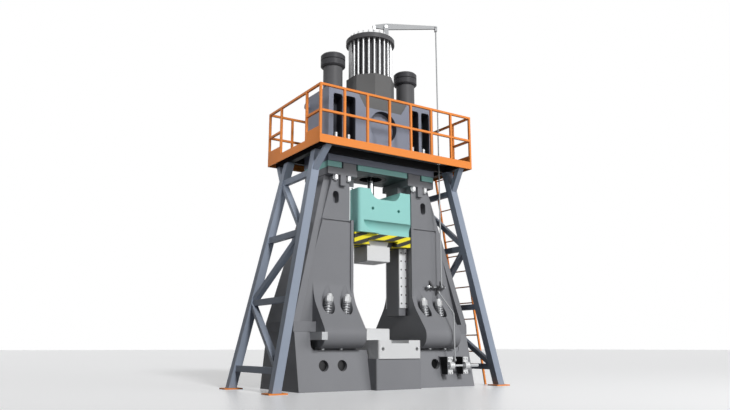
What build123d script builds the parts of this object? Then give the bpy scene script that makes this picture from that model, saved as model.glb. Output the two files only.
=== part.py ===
from build123d import *
import os
from math import atan2, cos, degrees, hypot, pi, radians, sin, tan

os.makedirs("parts", exist_ok=True)

# A hydraulic die-forging hammer, in millimetres. X runs along the front, Y into the depth,
# Z up. The origin is on the floor, in the middle of the anvil.

# Clearances
overrun = 40.0
seat_gap = 0.3
running_gap = 0.05
guide_gap = 0.5
pin_play = 6.0

# Anvil: a broad casting with a nose under the dies and a channel for the column feet
cheek_width = 335.0
anvil_floor_half_depth = 825.0
anvil_top_half_depth = 600.0
anvil_height = 1095.0
key_room = 125.0
channel_depth = 335.0
channel_corner_radius = 90.0
channel_border = 60.0
border_depth = 15.0
nose_margin = 32.0
nose_setback = 29.0
nose_corner_radius = 30.0
cross_hole_radius = 105.0
cross_hole_depth = 230.0
cross_hole_drop = 294.0

# Sow block, the hardened die holder let into the anvil
sow_half_width = 513.0
sow_half_depth = 1049.0
sow_seat_depth = 170.0
sow_height = 358.0
sow_side_gap = 20.0
sow_corner_radius = 40.0
sow_slot_half_width = 211.0
sow_slot_depth = 62.0
sow_pin_hole_radius = 35.0
sow_pin_hole_depth = 120.0
sow_pin_hole_inset = 102.0
sow_pin_hole_rise = 186.0

# Dies
lower_die_half_width = 285.0
lower_die_half_depth = 280.0
lower_die_height = 241.0
lower_key_width = 90.0
upper_die_half_width = 289.0
upper_die_half_depth = 306.0
upper_die_height = 322.0
die_opening = 1389.0
die_edge_chamfer = 12.0

# Ram
ram_half_width = 675.0
ram_half_depth = 590.0
ram_height = 924.0
ram_edge_radius = 70.0
ram_notch_width = 730.0
ram_notch_depth = 202.0
ram_notch_radius = 190.0
ram_hole_radius = 33.0
ram_hole_depth = 90.0
ram_hole_x = 330.0
ram_hole_rise = 512.0
band_margin = 40.0
scoop_depth = 110.0
band_height = 231.0
scoop_height = 254.0
scoop_straight = 79.0
scoop_left_x = 554.0
scoop_runout = 394.0
dovetail_height = 110.0
dovetail_half_width = 340.0
dovetail_flare = 45.0
shank_half_width = 215.0
upper_left_key_front_y = 300.0
upper_left_key_rear_y = 400.0
upper_right_key_front_y = 300.0
upper_right_key_rear_y = 480.0

# Columns
foot_lead = 5.0
column_foot_width = 920.0
lip_thickness = 60.0
foot_block_overhang = 20.0
foot_block_height = 195.0
column_foot_block_half_depth = 600.0
column_foot_half_depth = 580.0
column_top_setback = 23.0
column_panel_half_depth = 455.0
column_top_panel_half_depth = 410.0
seam_drop = 920.0
column_seam_groove = 26.0
column_height = 2990.0
flange_thickness = 140.0
flange_reach = 140.0
flange_setback = 9.0
column_flange_half_depth = 490.0
outer_rib_width = 142.0
outer_rib_foot_half_depth = 595.0
outer_rib_top_half_depth = 300.0
ram_side_gap = 25.0
lip_half_depth = 485.0
lip_depth = 85.0
recess_rise = 180.0
tongue_reach = 100.0
tongue_half_depth = 220.0
roll_radius = 255.0
roll_y = 705.0
roll_drop = 52.0
flare_slope_deg = 36.87
flare_blend_radius = 900.0
flare_reach = 1010.0
eye_width = 140.0
eye_height = 260.0
eye_depth = 160.0
eye_inset = 325.0
eye_drop = 460.0
gusset_half_width = 65.0
gusset_height = 220.0
tab_inset = 20.0
tab_width = 320.0
tab_root_y = 400.0
tab_side_gap = 40.0

# Keys that wedge the column feet in the anvil channel
key_drop = 152.0
key_height = 145.0
key_taper_share = 0.02
left_key_front_y = 1055.0
right_key_front_y = 800.0
key_rear_y = 620.0

# Tie bolts with buffer springs
bolt_lean_deg = 8.0
bolt_radius = 42.0
bolt_hole_play = 5.0
bolt_y = 595.0
bolt_inner_inset = 265.0
bolt_outer_inset = 245.0
barrel_nut_length = 120.0
spring_seat_rise = 150.0
bolt_pocket_radius = 138.0
bolt_pocket_height = 640.0
spring_height = 245.0
spring_radius = 66.0
spring_wire = 26.0
spring_turns = 5
spring_steps_per_turn = 10
bolt_nut_radius = 80.0
bolt_nut_height = 100.0
bolt_nut_dome = 55.0

# Guide plates on the column tongues
guide_plate_thickness = 30.0
guide_plate_setback = 5.0
guide_plate_inset = 160.0

# Buffer plate and head
plate_setback = 5.0
plate_thickness = 130.0
plate_chamfer = 12.0
plate_hole_radius = 250.0
head_half_width = 1375.0
head_overhang = 25.0
head_height = 1615.0
slot_floor_rise = 400.0
slot_top_drop = 145.0
slot_depth = 250.0
slot_corner_radius = 50.0
inner_slot_inset = 533.0
inner_slot_width = 245.0
outer_slot_inset = 223.0
outer_slot_width = 225.0
round_recess_radius = 350.0
round_recess_depth = 150.0
round_recess_rise = 940.0
saddle_depth = 305.0
saddle_bottom_half_width = 478.0
saddle_top_half_width = 670.0
side_port_radius = 70.0
side_port_length = 60.0
side_port_y = 390.0
side_port_drop = 205.0

# Head studs
stud_radius = 38.0
stud_hole_play = 2.0
stud_inset = 60.0
stud_tail = 115.0
stud_head = 240.0
stud_nut_radius = 62.0
stud_nut_height = 95.0

# Cylinder, piston and rod
bore_radius = 190.0
liner_wall = 40.0
gland_height = 150.0
liner_rise = 435.0
gland_cover_radius = 245.0
gland_cover_thickness = 35.0
rod_radius = 75.0
rod_socket_depth = 605.0
seal_height = 40.0
seal_width = 12.0
piston_drop = 480.0
piston_height = 140.0
ring_height = 22.0
ring_depth = 15.0

# Valve block and tie-rod stack
valve_block_radius = 550.0
valve_block_sides = 8
valve_block_height = 535.0
valve_block_setback = 10.0
barrel_radius = 400.0
barrel_wall = 60.0
barrel_height = 860.0
stack_flange_thickness = 105.0
stack_flange_radius = 555.0
tie_rod_count = 24
tie_rod_radius = 22.0
tie_rod_circle_radius = 475.0
tie_nut_radius = 38.0
tie_nut_height = 40.0
tie_end_radius = 20.0
tie_end_height = 45.0

# Side accumulators
accumulator_inset = 390.0
accumulator_radius = 213.0
accumulator_foot_radius = 275.0
accumulator_foot_height = 45.0
accumulator_height = 635.0
accumulator_cap_height = 295.0
accumulator_cap_radius = 270.0
accumulator_groove_rise = 145.0
accumulator_cap_groove = 18.0
accumulator_cap_chamfer = 30.0
accumulator_bolt_count = 8
accumulator_bolt_radius = 22.0
accumulator_bolt_height = 60.0
accumulator_bolt_circle_radius = 243.0

# Service platform
walkway_width = 565.0
walkway_depth = 640.0
platform_rise = 131.0
fascia_height = 164.0
deck_thickness = 12.0
fascia_thickness = 14.0
deck_opening_gap = 15.0
joist_half_width = 60.0
joist_inset = 250.0
cross_joist_gap = 51.0
rail_size = 46.0
rail_height = 1050.0
mid_rail_height = 492.0
front_post_count = 8
side_post_y = 570.0
toe_board_height = 164.0
toe_board_thickness = 8.0
rod_hole_radius = 40.0

# Leg towers
leg_size = 170.0
leg_stand_off = 556.0
leg_foot_y = 982.0
leg_top_y = 600.0
brace_height = 120.0
brace_width = 96.0
brace_levels_shares = (0.085, 0.36, 0.635, 0.90)
strut_reach = 430.0
strut_foot_share = 0.90
strut_size = 130.0
foot_plate_length = 370.0
foot_plate_width = 300.0
foot_plate_thickness = 25.0
anchor_hole_radius = 14.0
anchor_spacing_x = 300.0
anchor_spacing_y = 230.0

# Ladder on the outside of the right tower
ladder_lead = 119.0
ladder_gap = 50.0
ladder_front_y = -440.0
ladder_rear_y = 200.0
stringer_width = 45.0
stringer_thickness = 30.0
rung_radius = 14.0
rung_pitch = 360.0
ladder_clip_height = 80.0

# Control linkage
link_side_clear = 45.0
link_front_clear = 125.0
link_rod_radius = 15.0
link_plate = 32.0
link_side_gap = 4.0
link_eye_radius = 30.0
link_pin_radius = 12.0
link_pin_head = 10.0
rocker_rise = 405.0
rocker_tip_rise = 80.0
rocker_pivot_reach = 368.0
rocker_inner_reach = 90.0
rocker_thickness = 40.0
rocker_apex = 90.0
rocker_belly = 60.0
rocker_end_radius = 36.0
rocker_pin_radius = 28.0
rocker_stand_plate = 22.0
rocker_stand_half_length = 58.0
rocker_stand_eye = 52.0
rocker_stand_base_height = 30.0
spool_radius = 16.0
spool_depth = 260.0
clevis_ear = 12.0
clevis_drop = 70.0
clevis_foot = 26.0
crank_stand_off = 85.0
crank_rise = 795.0
crank_shaft_radius = 22.0
crank_shaft_left_reach = 280.0
crank_shaft_right_reach = 180.0
crank_knob_radius = 46.0
crank_down_arm = 110.0
crank_hub_radius = 42.0
crank_arm_half_width = 24.0
crank_bracket_left_reach = 180.0
crank_bracket_right_reach = 120.0
crank_bracket_half_width = 22.0
crank_bracket_rise = 110.0
rod_toe_gap = 60.0
elbow_drop = 575.0
elbow_radius = 90.0
base_shaft_drop = 320.0
base_shaft_radius = 24.0
base_shaft_left_reach = 190.0
base_shaft_right_reach = 590.0
base_bearing_left_reach = 115.0
base_bearing_right_reach = 300.0
base_bearing_half_width = 62.0
base_bearing_half_height = 175.0
base_bearing_eye = 75.0
base_bearing_setback = 35.0
bearing_pad_margin = 10.0
bearing_pad_thickness = 40.0
bearing_cap_thickness = 22.0
bearing_bolt_radius = 20.0
bearing_bolt_height = 24.0
bearing_bolt_inset = 32.0
base_handle_radius = 34.0
base_handle_reach = 420.0

# Worked-out widths, from the ram outwards
band_half_width = ram_half_width + band_margin
tongue_inner_x = ram_half_width - tongue_reach
lip_inner_x = band_half_width + ram_side_gap
column_wall_x = lip_inner_x + lip_thickness
column_foot_inner_x = lip_inner_x - foot_lead
column_foot_outer_x = column_foot_inner_x + column_foot_width
channel_half_width = column_foot_outer_x + key_room
anvil_half_width = channel_half_width + cheek_width
column_foot_block_outer_x = anvil_half_width + foot_block_overhang
column_flange_inner_x = column_wall_x - flange_reach
column_flange_outer_x = head_half_width - flange_setback
column_top_outer_x = column_flange_outer_x - column_top_setback
guide_plate_inner_x = tongue_inner_x + guide_plate_setback
guide_plate_outer_x = column_wall_x - guide_plate_setback
eye_x = column_wall_x + eye_inset
tab_inner_x = column_flange_inner_x + tab_inset
tab_outer_x = tab_inner_x + tab_width
bolt_inner_x = column_foot_inner_x + bolt_inner_inset
bolt_outer_x = column_foot_outer_x - bolt_outer_inset
inner_slot_x = head_half_width - inner_slot_inset
outer_slot_x = head_half_width - outer_slot_inset
gusset_x = (inner_slot_x + outer_slot_x) / 2
nose_half_width = sow_half_width + nose_margin
sow_pin_hole_x = sow_half_width - sow_pin_hole_inset
plate_half_width = head_half_width - plate_setback
accumulator_x = head_half_width - accumulator_inset
platform_half_width = head_half_width + walkway_width
joist_x = platform_half_width - joist_inset
leg_foot_x = anvil_half_width + leg_stand_off
leg_top_x = joist_x
ladder_foot_x = leg_foot_x + ladder_lead
ladder_top_x = platform_half_width + ladder_gap
link_x = head_half_width + link_side_clear
crank_shaft_left_x = link_x - crank_shaft_left_reach
crank_shaft_right_x = link_x + crank_shaft_right_reach
crank_bracket_left_x = link_x - crank_bracket_left_reach
crank_bracket_right_x = link_x + crank_bracket_right_reach
base_shaft_left_x = link_x - base_shaft_left_reach
base_shaft_right_x = link_x + base_shaft_right_reach
base_bearing_left_x = link_x - base_bearing_left_reach
base_bearing_right_x = link_x + base_bearing_right_reach
base_handle_start_x = link_x + base_handle_reach
crank_face_x = link_x - link_plate / 2 - seat_gap

# Worked-out depths
nose_half_depth = sow_half_depth - nose_setback
band_half_depth = ram_half_depth - scoop_depth
plate_half_depth = column_flange_half_depth
head_half_depth = plate_half_depth + head_overhang
stud_y = column_flange_half_depth - stud_inset
valve_block_half_depth = head_half_depth - valve_block_setback
platform_half_depth = head_half_depth + walkway_depth
cross_joist_y = head_half_depth + cross_joist_gap
link_y = head_half_depth + link_front_clear
crank_shaft_y = column_panel_half_depth + crank_stand_off
crank_forward_arm = link_y - crank_shaft_y
elbow_y = roll_y + roll_radius + rod_toe_gap
guide_face_y = tongue_half_depth + guide_plate_thickness

# Worked-out levels, from the floor up
channel_floor_z = anvil_height - channel_depth
sow_seat_z = channel_floor_z - sow_seat_depth
cross_hole_z = channel_floor_z - cross_hole_drop
base_shaft_z = channel_floor_z - base_shaft_drop
sow_top_z = sow_seat_z + sow_height
sow_slot_floor_z = sow_top_z - sow_slot_depth
sow_pin_hole_z = sow_seat_z + sow_pin_hole_rise
lower_die_top_z = sow_top_z + lower_die_height
key_bottom_z = anvil_height - key_drop
key_top_z = key_bottom_z + key_height
roll_z = anvil_height - roll_drop
column_foot_block_top_z = anvil_height + foot_block_height
spring_seat_z = column_foot_block_top_z + spring_seat_rise
guide_recess_bottom_z = column_foot_block_top_z + recess_rise
flare_top_z = column_foot_block_top_z + flare_reach
column_flange_bottom_z = column_foot_block_top_z + column_height
column_flange_top_z = column_flange_bottom_z + flange_thickness
column_seam_z = column_flange_bottom_z - seam_drop
eye_z = column_flange_bottom_z - eye_drop
gusset_bottom_z = column_flange_bottom_z - gusset_height
guide_plate_bottom_z = guide_recess_bottom_z + guide_plate_inset
guide_plate_top_z = column_flange_bottom_z - guide_plate_inset
upper_die_bottom_z = lower_die_top_z + die_opening
band_bottom_z = upper_die_bottom_z + upper_die_height
dovetail_top_z = band_bottom_z + dovetail_height
ram_shoulder_z = band_bottom_z + band_height
scoop_low_z = ram_shoulder_z + scoop_straight
scoop_top_z = ram_shoulder_z + scoop_height
ram_hole_z = ram_shoulder_z + ram_hole_rise
ram_top_z = ram_shoulder_z + ram_height
rod_bottom_z = ram_top_z - rod_socket_depth
plate_top_z = column_flange_top_z + plate_thickness
slot_bottom_z = plate_top_z + slot_floor_rise
stud_bottom_z = column_flange_bottom_z - stud_tail
stud_top_z = slot_bottom_z + stud_head
round_recess_z = plate_top_z + round_recess_rise
head_top_z = plate_top_z + head_height
slot_top_z = head_top_z - slot_top_drop
saddle_bottom_z = head_top_z - saddle_depth
side_port_z = head_top_z - side_port_drop
liner_bottom_z = plate_top_z + gland_height
liner_top_z = head_top_z + liner_rise
piston_bottom_z = liner_top_z - piston_drop
valve_block_top_z = head_top_z + valve_block_height
stack_flange_bottom_z = valve_block_top_z + barrel_height
stack_flange_top_z = stack_flange_bottom_z + stack_flange_thickness
accumulator_cap_bottom_z = head_top_z + accumulator_height
accumulator_cap_groove_z = accumulator_cap_bottom_z + accumulator_groove_rise
accumulator_cap_top_z = accumulator_cap_bottom_z + accumulator_cap_height
platform_bottom_z = plate_top_z + platform_rise
deck_top_z = platform_bottom_z + fascia_height
rail_top_z = deck_top_z + rail_height
mid_rail_z = deck_top_z + mid_rail_height
leg_height = platform_bottom_z
rocker_z = stack_flange_top_z + rocker_rise
rocker_tip_z = rocker_z + rocker_tip_rise
spool_bottom_z = stack_flange_bottom_z - spool_depth
crank_shaft_z = column_foot_block_top_z + crank_rise
elbow_z = crank_shaft_z - elbow_drop

# Other worked-out sizes
bolt_axis_tilt = radians(bolt_lean_deg)
liner_radius = bore_radius + liner_wall
link_angle = degrees(atan2(-link_y, link_x))
link_reach = hypot(link_x, link_y)


def block(low, high):
    """A box between its lowest and highest corners."""
    size = Vector(*high) - Vector(*low)
    middle = (Vector(*high) + Vector(*low)) / 2
    return Pos(middle) * Box(size.X, size.Y, size.Z)


def flat_face(points):
    return Face(Wire.make_polygon([Vector(*point) for point in points], close=True))


def along_y(outline, start, end):
    """An outline of (x, z) points carried along Y."""
    face = flat_face([(x, start, z) for x, z in outline])
    return extrude(face, amount=end - start, dir=(0, 1, 0))


def along_x(outline, start, end):
    """An outline of (y, z) points carried along X."""
    face = flat_face([(start, y, z) for y, z in outline])
    return extrude(face, amount=end - start, dir=(1, 0, 0))


def rod(start, end, radius):
    """A round bar between two points."""
    axis = Vector(*end) - Vector(*start)
    plane = Plane(origin=start, z_dir=axis)
    return extrude(plane * Circle(radius), amount=axis.length)


def upright(radius, bottom, top, x=0, y=0):
    return rod((x, y, bottom), (x, y, top), radius)


def turned(outline, x=0, y=0):
    """A body of revolution about a vertical axis, from (radius, z) points."""
    face = flat_face([(r, 0, z) for r, z in outline])
    return Pos(x, y, 0) * revolve(face, Axis.Z)


def ring(outer, inner, bottom, top, x=0, y=0):
    return upright(outer, bottom, top, x, y) - upright(inner, bottom - overrun, top + overrun, x, y)


def hexagon(radius, bottom, top, x=0, y=0):
    return Pos(x, y, bottom) * extrude(RegularPolygon(radius, 6), top - bottom)


def leaning(start, end, size_x, size_y):
    """A bar between two levels, with flat ends and a level section."""
    axis = Vector(*end) - Vector(*start)
    section = Pos(*start) * Rectangle(size_x, size_y)
    return extrude(section, amount=axis.length, dir=axis)


def mirrored_x(shape):
    return mirror(shape, about=Plane.YZ)


def mirrored_y(shape):
    return mirror(shape, about=Plane.XZ)


def both_ends(shape):
    return [shape, mirrored_y(shape)]


def both_sides(shape):
    return [shape, mirrored_x(shape)]


def four_corners(shape):
    return both_ends(shape) + both_ends(mirrored_x(shape))


def on_both_sides(pieces):
    return [copy for piece in pieces for copy in both_sides(piece)]


def largest(shape):
    """The main solid of a bar that has been trimmed against its neighbours."""
    return shape.solids().sort_by(SortBy.VOLUME)[-1]


def group(pieces):
    """One node of separate solids."""
    return Compound([solid for piece in pieces for solid in piece.solids()])


# Anvil and dies
def anvil_face_y(z):
    """Half depth of the anvil's sloping front and rear faces at a height."""
    slope = (anvil_floor_half_depth - anvil_top_half_depth) / anvil_height
    return anvil_floor_half_depth - slope * z


def anvil_section(inset):
    """Side outline of the anvil, set in from its sloping faces."""
    low = anvil_floor_half_depth - inset
    high = anvil_top_half_depth - inset
    return [(-low, 0), (low, 0), (high, anvil_height), (-high, anvil_height)]


def channel(margin):
    """The channel for the column feet, with rounded lower corners, widened by a margin."""
    width = channel_half_width + margin
    height = channel_depth + margin
    outline = RectangleRounded(2 * width, 2 * height, channel_corner_radius)
    return extrude(Plane.XZ * (Pos(0, anvil_height) * outline), amount=nose_half_depth + overrun, both=True)


def anvil_block():
    body = along_x(anvil_section(0), -anvil_half_width, anvil_half_width)
    nose = block((-nose_half_width, -nose_half_depth, 0), (nose_half_width, nose_half_depth, sow_seat_z))
    body += fillet(nose.edges().filter_by(Axis.Z), nose_corner_radius)
    past_y = nose_half_depth + overrun
    past_z = anvil_height + overrun
    body -= channel(0)
    core = along_x(anvil_section(border_depth), -anvil_half_width, anvil_half_width)
    body -= channel(channel_border) - core
    seat = sow_half_width + sow_side_gap
    body -= block((-seat, -past_y, sow_seat_z), (seat, past_y, past_z))
    for x in (cross_hole_x(bolt_inner_x), cross_hole_x(bolt_outer_x)):
        mouth = (x, -past_y, cross_hole_z)
        floor = (x, cross_hole_depth - anvil_face_y(cross_hole_z), cross_hole_z)
        body -= four_corners(rod(mouth, floor, cross_hole_radius))
    for frame in bolt_frames():
        body -= frame * upright(bolt_radius + seat_gap, -bolt_length_below(), 0)
    return body


def sow_block():
    body = block((-sow_half_width, -sow_half_depth, sow_seat_z),
                 (sow_half_width, sow_half_depth, sow_top_z))
    body = fillet(body.edges().filter_by(Axis.Z), sow_corner_radius)
    past_y = sow_half_depth + overrun
    body -= block((-sow_slot_half_width, -past_y, sow_slot_floor_z),
                  (sow_slot_half_width, past_y, sow_top_z + overrun))
    mouth = (sow_pin_hole_x, -past_y, sow_pin_hole_z)
    floor = (sow_pin_hole_x, sow_pin_hole_depth - sow_half_depth, sow_pin_hole_z)
    return body - both_sides(rod(mouth, floor, sow_pin_hole_radius))


def lower_die():
    body = block((-lower_die_half_width, -lower_die_half_depth, sow_top_z),
                 (lower_die_half_width, lower_die_half_depth, lower_die_top_z))
    body = chamfer(body.edges().group_by(Axis.Z)[-1], die_edge_chamfer)
    shank = block((-sow_slot_half_width, -lower_die_half_depth, sow_slot_floor_z),
                  (sow_slot_half_width - lower_key_width, lower_die_half_depth, sow_top_z))
    return body + shank


def lower_die_key():
    return block((sow_slot_half_width - lower_key_width, -lower_die_half_depth, sow_slot_floor_z),
                 (sow_slot_half_width, lower_die_half_depth, sow_top_z))


def shank_outline():
    lean = dovetail_flare * (dovetail_height - seat_gap) / dovetail_height
    return [(-shank_half_width, band_bottom_z), (shank_half_width, band_bottom_z),
            (shank_half_width + lean, dovetail_top_z - seat_gap),
            (-shank_half_width - lean, dovetail_top_z - seat_gap)]


def upper_die():
    body = block((-upper_die_half_width, -upper_die_half_depth, upper_die_bottom_z),
                 (upper_die_half_width, upper_die_half_depth, band_bottom_z - seat_gap))
    body = chamfer(body.edges().group_by(Axis.Z)[0], die_edge_chamfer)
    shank = along_y(shank_outline(), -upper_die_half_depth, upper_die_half_depth)
    neck = block((-shank_half_width, -upper_die_half_depth, band_bottom_z - seat_gap),
                 (shank_half_width, upper_die_half_depth, band_bottom_z))
    return body + neck + shank


def upper_die_key(side, front, rear):
    """A driven key between the die shank and the dovetail wall."""
    near = shank_half_width + seat_gap
    far = dovetail_half_width
    lean = dovetail_flare * (dovetail_height - seat_gap) / dovetail_height
    top = dovetail_top_z - seat_gap
    outline = [(side * near, band_bottom_z), (side * far, band_bottom_z),
               (side * (far + lean), top), (side * (near + lean), top)]
    return along_y(outline, -front, rear)


# Ram
def ram_scoop():
    """The concave relief in the front face, with a curved run-out at its left end."""
    depth = ram_half_depth - band_half_depth
    rise = scoop_top_z - scoop_low_z
    radius = (depth * depth + rise * rise) / (2 * depth)
    face = Plane.YZ * Rectangle(2 * depth, scoop_top_z - ram_shoulder_z, align=(Align.CENTER, Align.MIN))
    wedge = extrude(face, amount=ram_half_width + overrun, both=True)
    wedge = Pos(0, -ram_half_depth, ram_shoulder_z) * wedge
    centre_y = -band_half_depth - radius
    above = block((-ram_half_width - 2 * overrun, -ram_half_depth - overrun - depth, scoop_low_z),
                  (ram_half_width + 2 * overrun, -band_half_depth + overrun, scoop_top_z + overrun))
    bar = rod((-ram_half_width - overrun, centre_y, scoop_low_z),
              (ram_half_width + overrun, centre_y, scoop_low_z), radius)
    wedge -= above - bar
    height = scoop_top_z - ram_shoulder_z
    length = ram_half_width + scoop_left_x + overrun
    run = Ellipse(scoop_runout, height) + Rectangle(length, 2 * height, align=(Align.MIN, Align.CENTER))
    run = Plane.XZ * (Pos(scoop_runout - scoop_left_x, scoop_top_z) * run)
    return wedge & extrude(run, amount=ram_half_depth + overrun)


def ram():
    body = block((-ram_half_width, -ram_half_depth, ram_shoulder_z),
                 (ram_half_width, ram_half_depth, ram_top_z))
    body = fillet(body.edges().filter_by(Axis.Z), ram_edge_radius)
    relief = ram_scoop()
    body -= relief
    body -= Rot(0, 0, 180) * relief
    body += block((-band_half_width, -band_half_depth, band_bottom_z),
                  (band_half_width, band_half_depth, ram_shoulder_z))
    past_y = ram_half_depth + overrun
    notch = Plane.XZ * (Pos(0, ram_top_z)
                        * RectangleRounded(ram_notch_width, 2 * ram_notch_depth, ram_notch_radius))
    body -= extrude(notch, amount=past_y, both=True)
    groove = block((tongue_inner_x - overrun / 2, -guide_face_y - guide_gap, band_bottom_z - overrun),
                   (band_half_width + overrun, guide_face_y + guide_gap, ram_top_z + overrun))
    body -= both_sides(groove)
    flared = dovetail_half_width + dovetail_flare
    mouth_z = band_bottom_z - seat_gap
    dovetail = [(dovetail_half_width, mouth_z), (dovetail_half_width, band_bottom_z)]
    dovetail.append((flared, dovetail_top_z))
    dovetail += [(-x, z) for x, z in reversed(dovetail)]
    body -= along_y(dovetail, -past_y, past_y)
    mouth = (ram_hole_x, -past_y, ram_hole_z)
    floor = (ram_hole_x, ram_hole_depth - ram_half_depth, ram_hole_z)
    body -= both_sides(rod(mouth, floor, ram_hole_radius))
    return body - upright(rod_radius, rod_bottom_z, ram_top_z + overrun)


def upper_die_keys():
    return group([upper_die_key(-1, upper_left_key_front_y, upper_left_key_rear_y),
                  upper_die_key(1, upper_right_key_front_y, upper_right_key_rear_y)])


def piston_rod():
    return upright(rod_radius, rod_bottom_z, piston_bottom_z)


def piston():
    top = piston_bottom_z + piston_height
    body = upright(bore_radius - running_gap, piston_bottom_z, top)
    for z in ring_levels():
        body -= ring(bore_radius + overrun, bore_radius - ring_depth, z, z + ring_height)
    return body


def ring_levels():
    """Lower edges of the two piston-ring grooves."""
    land = (piston_height - 2 * ring_height) / 3
    return [piston_bottom_z + land, piston_bottom_z + 2 * land + ring_height]


def piston_rings():
    outer = bore_radius - running_gap
    inner = bore_radius - ring_depth + seat_gap
    return group([ring(outer, inner, z + seat_gap, z + ring_height - seat_gap) for z in ring_levels()])


# Columns, drawn for the right-hand side
def column_outer_x(z):
    lean = (column_foot_block_outer_x - column_top_outer_x) / column_height
    return column_foot_block_outer_x - lean * (z - column_foot_block_top_z)


def rib_inner_x(z):
    return column_outer_x(z) - outer_rib_width


def foot_profile():
    """Side outline of the column foot: upright panel, flared front and half-round toe."""
    lean = radians(flare_slope_deg)
    tangent_y = roll_y + roll_radius * cos(lean)
    tangent_z = roll_z + roll_radius * sin(lean)
    corner_z = tangent_z + (tangent_y - column_panel_half_depth) / tan(lean)
    half = [(column_panel_half_depth, flare_top_z), (column_panel_half_depth, corner_z),
            (tangent_y, tangent_z), (roll_y, roll_z), (column_foot_half_depth, roll_z),
            (column_foot_half_depth, channel_floor_z)]
    whole = half + [(-y, z) for y, z in reversed(half)]
    outline = make_face(Polyline(*whole, close=True))
    corners = [v for v in outline.vertices()
               if abs(abs(v.X) - column_panel_half_depth) < seat_gap and abs(v.Y - corner_z) < seat_gap]
    outline = fillet(corners, flare_blend_radius)
    for end in (-1, 1):
        outline += Pos(end * roll_y, roll_z) * Circle(roll_radius)
    return outline


def outer_rib():
    top = column_flange_bottom_z
    foot = column_foot_block_top_z
    outline = [(rib_inner_x(foot), foot), (column_outer_x(foot), foot),
               (column_outer_x(top), top), (rib_inner_x(top), top)]
    strip = along_y(outline, -outer_rib_foot_half_depth, outer_rib_foot_half_depth)
    taper = [(-outer_rib_foot_half_depth, foot), (outer_rib_foot_half_depth, foot),
             (outer_rib_top_half_depth, top), (-outer_rib_top_half_depth, top)]
    return strip & along_x(taper, 0, column_foot_block_outer_x + overrun)


def bolt_frames():
    """Frames of the tie bolts, on their spring seats with local Z up along the bolt."""
    frames = []
    for side in (-1, 1):
        for end in (-1, 1):
            for x in (bolt_inner_x, bolt_outer_x):
                axis = (-side * sin(bolt_axis_tilt), 0, cos(bolt_axis_tilt))
                plane = Plane(origin=(side * x, end * bolt_y, spring_seat_z), x_dir=(0, 1, 0), z_dir=axis)
                frames.append(plane.location)
    return frames


def cross_hole_x(bolt_x):
    """Where a tie bolt meets the level of the anvil's cross holes."""
    return bolt_x + (spring_seat_z - cross_hole_z) * tan(bolt_axis_tilt)


def bolt_length_below():
    """Bolt length from the spring seat to the far side of its barrel nut."""
    return (spring_seat_z - cross_hole_z) / cos(bolt_axis_tilt) + cross_hole_radius


def right_column():
    foot = extrude(Plane.YZ.offset(column_foot_inner_x) * foot_profile(),
                   amount=column_foot_outer_x - column_foot_inner_x)
    body = foot + block((column_foot_inner_x, -column_foot_block_half_depth, anvil_height),
                        (column_foot_block_outer_x, column_foot_block_half_depth, column_foot_block_top_z))
    base = column_foot_block_top_z
    seam = column_seam_z
    top = column_flange_bottom_z
    body += along_y([(column_wall_x, base), (rib_inner_x(base), base), (rib_inner_x(seam), seam),
                     (column_wall_x, seam)], -column_panel_half_depth, column_panel_half_depth)
    body += along_y([(column_wall_x, seam), (rib_inner_x(seam), seam), (rib_inner_x(top), top),
                     (column_wall_x, top)], -column_top_panel_half_depth, column_top_panel_half_depth)
    body += outer_rib()
    recess_y = lip_half_depth - lip_depth
    body -= block((column_foot_inner_x - overrun, -recess_y, guide_recess_bottom_z),
                  (column_wall_x, recess_y, top))
    lip = block((lip_inner_x, -lip_half_depth, guide_recess_bottom_z), (column_wall_x, -recess_y, seam))
    body += both_ends(lip)
    body += block((tongue_inner_x, -tongue_half_depth, guide_recess_bottom_z),
                  (column_wall_x, tongue_half_depth, top))
    body += block((column_flange_inner_x, -column_flange_half_depth, top),
                  (column_flange_outer_x, column_flange_half_depth, column_flange_top_z))
    tab = block((tab_inner_x, -column_flange_half_depth, column_flange_top_z),
                (tab_outer_x, -tab_root_y, plate_top_z))
    gusset = block((gusset_x - gusset_half_width, -column_flange_half_depth, gusset_bottom_z),
                   (gusset_x + gusset_half_width, -column_top_panel_half_depth, top))
    body += both_ends(tab) + both_ends(gusset)
    return column_cuts(body)


def column_cuts(body):
    """Seam groove, oval eyes, bolt pockets and stud holes of one column."""
    seam_floor = column_panel_half_depth - column_seam_groove
    groove_top = column_seam_z - column_seam_groove
    groove = block((column_wall_x, -column_panel_half_depth - overrun, groove_top - column_seam_groove),
                   (rib_inner_x(column_seam_z), -seam_floor, groove_top))
    body -= both_ends(groove)
    eye = Plane.XZ * (Pos(eye_x, eye_z) * Rot(0, 0, 90) * SlotOverall(eye_height, eye_width))
    eye = Pos(0, eye_depth - column_top_panel_half_depth, 0) * extrude(eye, amount=eye_depth + overrun)
    body -= both_ends(eye)
    hole = bolt_radius + bolt_hole_play
    for frame in bolt_frames()[len(bolt_frames()) // 2:]:
        body -= frame * upright(bolt_pocket_radius, 0, bolt_pocket_height)
        body -= frame * upright(hole, -bolt_length_below(), overrun)
    for x in (inner_slot_x, outer_slot_x):
        hole = upright(stud_radius + stud_hole_play, stud_bottom_z, plate_top_z + overrun, x, -stud_y)
        body -= both_ends(hole)
        spot_face = upright(stud_nut_radius + pin_play, stud_bottom_z, column_flange_bottom_z, x, -stud_y)
        body -= both_ends(spot_face)
    return body


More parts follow.
